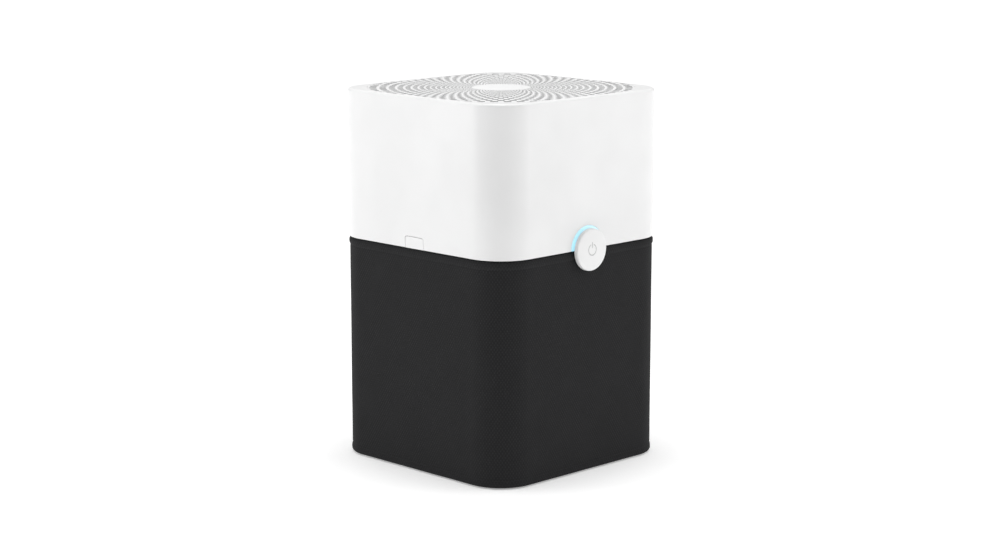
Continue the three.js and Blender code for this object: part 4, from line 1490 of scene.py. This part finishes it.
def frame_screws(zinc):
    """Countersunk screws with a cross recess, driven up through the intake plate."""
    thread, pitch = 1.9, 1.1
    rings = []
    for index in range(12):
        start = INTAKE_LOW + 3.6 + index * pitch
        rings += [(thread, start), (1.55, start + pitch / 2)]
    outline = [(0, INTAKE_LOW + 0.2), (3.9, INTAKE_LOW + 0.2), (4.2, INTAKE_LOW + 0.5)]
    outline += [(4.1, INTAKE_LOW + 1), (2, INTAKE_LOW + 2.6), *rings, (thread, 327.4), (0, 329)]
    model = turned("screw", outline, 24)
    for turn in (0, TURN / 4):
        slot = block("cross", (-2.2, -0.4, 300), (2.2, 0.4, INTAKE_LOW + 1.5))
        carved(model, moved(slot, about_z(turn)))
    smooth(model)
    for where, (x, y) in QUARTERS.items():
        at = Matrix.Translation(mm(x * SCREW_AT, y * SCREW_AT, 0))
        screw = moved(copied(model, f"countersunk_screw_{where}"), at)
        fitted(screw, "head", zinc, f"frame_screw_{where}", slot="zinc")
    discard(model)


# ---- head: what is behind the button, springs, boards and gland --------------------------------
def spring(name, node, side, radius, wire, low, high, turns, up, finish):
    """A coil of round wire whose axis points out of a side, at a height above the seam."""
    start = {"location": mm(radius, 0, low + wire), "rotation": (TURN / 4, 0, 0)}
    bpy.ops.mesh.primitive_circle_add(vertices=10, radius=mm(wire), **start)
    piece = added(name)
    rise = (high - low - 2 * wire) / turns
    modified(
        piece,
        "SCREW",
        axis="Z",
        angle=TURN * turns,
        screw_offset=mm(rise * turns),
        steps=round(20 * turns),
        render_steps=round(20 * turns),
    )
    open_ends = {"extend": False, "use_wire": False, "use_boundary": True, "use_multi_face": False}
    open_ends.update(use_non_contiguous=False, use_verts=False)

    def none(mesh, edge):
        return False

    shaped(
        piece,
        "EDGE",
        none,
        (bpy.ops.mesh.select_non_manifold, open_ends),
        (bpy.ops.mesh.edge_face_add, {}),
        (bpy.ops.mesh.select_all, {"action": "SELECT"}),
        (bpy.ops.mesh.normals_make_consistent, {"inside": False}),
    )
    smooth(moved(piece, on_side(side, SEAM + up)), 50)
    return fitted(piece, "head", finish, node, slot="steel")


def springs(finish):
    """The return springs of the cap and of the two latch tabs."""
    low, high = 3.5, 6
    cap = spring("cap_spring", "button_spring", 0, 4.6, 0.45, low, high, 1.8, BUTTON_AXIS, finish)
    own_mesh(cap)
    low, high = -24.4, -12.9
    for where, side in (("left", -1), ("right", 1)):
        names = f"latch_coil_{where}", f"latch_{where}_spring"
        coil = spring(*names, side, 3, 0.4, low, high, 6, 9, finish)
        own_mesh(coil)


def upper_half(piece, cut):
    """What is left of a piece drawn in a side's frame above a height."""
    keep = block("keep", (-80, cut, -40), (80, 80, 40))
    return carved(piece, keep, operation="INTERSECT")


def button_pod(finish):
    """The round boss that the cap slides on, with the bracket that screws behind the shell."""
    plate = [(0, 1), (25.8, 1), (26.4, 1.5), (26.4, 2.7), (25.9, 3.2), (0, 3.2)]
    pod = turned("button_boss", plate, 96)
    stem = upper_half(drum("stem", 23.9, -6, 1.5, sides=96), 5)
    bracket = upper_half(drum("bracket", 38, -6, -3.2, sides=96), 5)
    posts = [drum("post", 2.2, -13.7, -5, x, 12, 24) for x in (-22, 22)]
    carved(pod, stem, bracket, *posts, operation="UNION")
    carved(pod, drum("guide", 2.8, -10, 10, 0, BUTTON_AXIS, 32))
    smooth(moved(pod, on_side(0, SEAM)))
    return fitted(pod, "head", finish, "button_pod", slot="white_shell")


BACK_CORNER = about_z(TURN / 8)  # turns what is drawn along X to the back right corner


def control_board(laminate, black):
    """The board behind the button, with a chip, a socket and a capacitor on it."""
    control = softened(block("control_board", (-28, 5, -15.6), (28, 39, -14)), 0.2)
    chips = [
        block("chip", (-9, 26, -14.1), (9, 35, -12)),
        block("plug_socket", (14, 8, -20), (25, 15, -15.5)),
        drum("capacitor", 3, -14.1, -9.5, -18, 34, 24),
    ]
    parts = [softened(chip, 0.25) for chip in chips]
    smooth(control)
    fitted(moved(control, on_side(0, SEAM)), "head", laminate, "button_board", slot="board")
    chipset = smooth(moved(joined("control_chips", *parts), on_side(0, SEAM)))
    fitted(chipset, "head", black, slot="black_frame")


def push_switch(black):
    """The small switch that the plunger presses."""
    switch = softened(block("push_switch", (-3, 11, -13.7), (3, 17, -11.4)), 0.3)
    stem = drum("stem", 1.7, -12, -10.3, 0, BUTTON_AXIS, 24)
    carved(switch, stem, operation="UNION")
    smooth(moved(switch, on_side(0, SEAM)))
    fitted(switch, "head", black, "tact_switch", slot="black_frame")


def mains_board(laminate, black):
    """The power board across the back corner, with its choke, relay, rectifier and capacitor."""
    power = softened(block("mains_board", (159.2, -37, 338), (160.8, 37, 428)), 0.2)
    smooth(moved(power, BACK_CORNER))
    fitted(power, "head", laminate, "power_board", slot="board")
    pieces = [
        block("choke", (160.6, -30, 396), (176, -14, 414)),
        block("relay", (160.6, -6, 398), (174, 10, 416)),
        block("rectifier", (160.6, 16, 400), (165, 32, 412)),
    ]
    parts = [softened(part, 0.6) for part in pieces]
    cans = drum("smoothing_capacitor", 6, 366, 390, 168, 24, 32)
    loaded = joined("mains_board_parts", softened(cans, 0.8), *parts)
    smooth(moved(loaded, BACK_CORNER))
    fitted(loaded, "head", black, slot="black_frame")


def run_capacitor(black):
    """The motor's tall can, crimped below its lid."""
    capacitor = turned(
        "run_capacitor",
        [(0, 345), (8, 345), (9, 346), (9, 388), (8.4, 389), (8.4, 390), (8.8, 391), (8, 392)]
        + [(0, 392)],
        48,
    )
    smooth(moved(capacitor, BACK_CORNER @ Matrix.Translation(mm(172, -21, 0))))
    fitted(capacitor, "head", black, "motor_capacitor", slot="black_frame")


def terminal_strip(nylon):
    """Three screw terminals for the mains, with a gap between each two."""
    strip = block("terminal_strip", (162.2, 8, 345), (174.2, 32, 363))
    cuts = []
    for index in range(3):
        across = 12 + 8 * index
        cuts.append(block("wire_way", (164.5, across - 2.6, 340), (171, across + 2.6, 350)))
        screw_way = drum("screw_way", 2.2, 0, 10, 0, 0, 24)
        turn = Matrix.Translation(mm(168, across, 357)) @ Matrix.Rotation(TURN / 4, 4, "Y")
        cuts.append(moved(screw_way, turn))
    for index in range(2):
        across = 16 + 8 * index
        cuts.append(block("gap", (170, across - 0.6, 340), (180, across + 0.6, 370)))
    carved(strip, *cuts)
    smooth(moved(softened(strip, 0.3), BACK_CORNER))
    fitted(strip, "head", nylon, "mains_terminals", slot="terminals")


def lamps(finish):
    """Two small lamps with a domed lens on the control board."""
    for name, across in (("left", -17), ("right", 17)):
        low, high = (across - 1.7, 22.6, -13.7), (across + 1.7, 25.4, -13)
        lamp = softened(block(f"lamp_{name}", low, high), 0.15)
        lens = turned("lens", [(0, -13.2), (1.3, -13.2), (1.1, -12.7), (0.6, -12.45), (0, -12.4)], 24)
        carved(lamp, moved(lens, Matrix.Translation(mm(across, 24, 0))), operation="UNION")
        smooth(moved(lamp, on_side(0, SEAM)))
        fitted(lamp, "head", finish, f"led_{name}", slot="light")


def cord_gland(finish):
    """A rubber gland with a grip of shallow rings round its bore."""
    outline = [(3.6, -7), (5.4, -7), (6, -6.4), (6, 0.4), (8.4, 0.4), (9, 1), (9, 3)]
    for index in range(3):
        start = 3.4 + 1.7 * index
        valley = 8.3 - 0.5 * index
        crest = 8.7 - 0.5 * index
        outline += [(valley, start), (valley, start + 0.5)]
        outline += [(crest, start + 0.9), (crest, start + 1.3)]
    outline += [(6.6, 8.8), (5.2, 9), (4.2, 8.7), (3.6, 8), (3.6, -7)]
    gland = turned("cord_outlet_gland", outline, 64)
    at = on_side(2, SEAM) @ Matrix.Translation(mm(-GLAND_ACROSS, GLAND_UP - SEAM, 0))
    smooth(moved(gland, at))
    return fitted(gland, "head", finish, "cord_gland", slot="rubber")


# ---- build -------------------------------------------------------------------------------------
studio()
gloss_white = gloss_abs()
etched_white = satin_abs()
black_pp = textured_pp()
for node in cad_nodes.values():
    node.data.materials.clear()
    node.data.materials.append(black_pp)

head_shell(gloss_white)
grille(etched_white)
latch("latch_left", -1, "latch_left_body", gloss_white)
latch("latch_right", 1, "latch_right_body", gloss_white)
ink = mark_ink()
button_cap(gloss_white)
power_sign(ink)
light_ring(lit_acrylic())
sleeve(knitted_polyester())

epdm = rubber()
base_tray(black_pp)
feet(epdm)
cage_rim(black_pp)
cage_posts(black_pp)
cage_stiles(black_pp)
zinc = zinc_plate()
steel = ground_steel()
pleated_media(filter_paper())
carbon_wrap(carbon_fleece())
foam = foam_rubber()
webbing = woven_webbing()
filter_frames(etched_white)
foam_seal(foam)
pull_strap(webbing)
intake_plate(black_pp)
intake_guard(black_pp)
fan_frame(black_pp)
guide_vanes(black_pp)
core = core_steel()
copper = enamelled_copper()
motor_cup(black_pp)
motor_case(zinc)
laminated_core(core)
motor_windings(copper)
bearings(steel)
rotor_core(zinc)
fan_shaft(steel)
impeller(fan_abs())
impeller_nut(zinc)
frame_screws(zinc)
button_pod(gloss_white)
springs(steel)
laminate = circuit_laminate()
nylon = natural_nylon()
control_board(laminate, black_pp)
push_switch(black_pp)
mains_board(laminate, black_pp)
run_capacitor(black_pp)
terminal_strip(nylon)
lamps(clear_epoxy())
cord_gland(epdm)
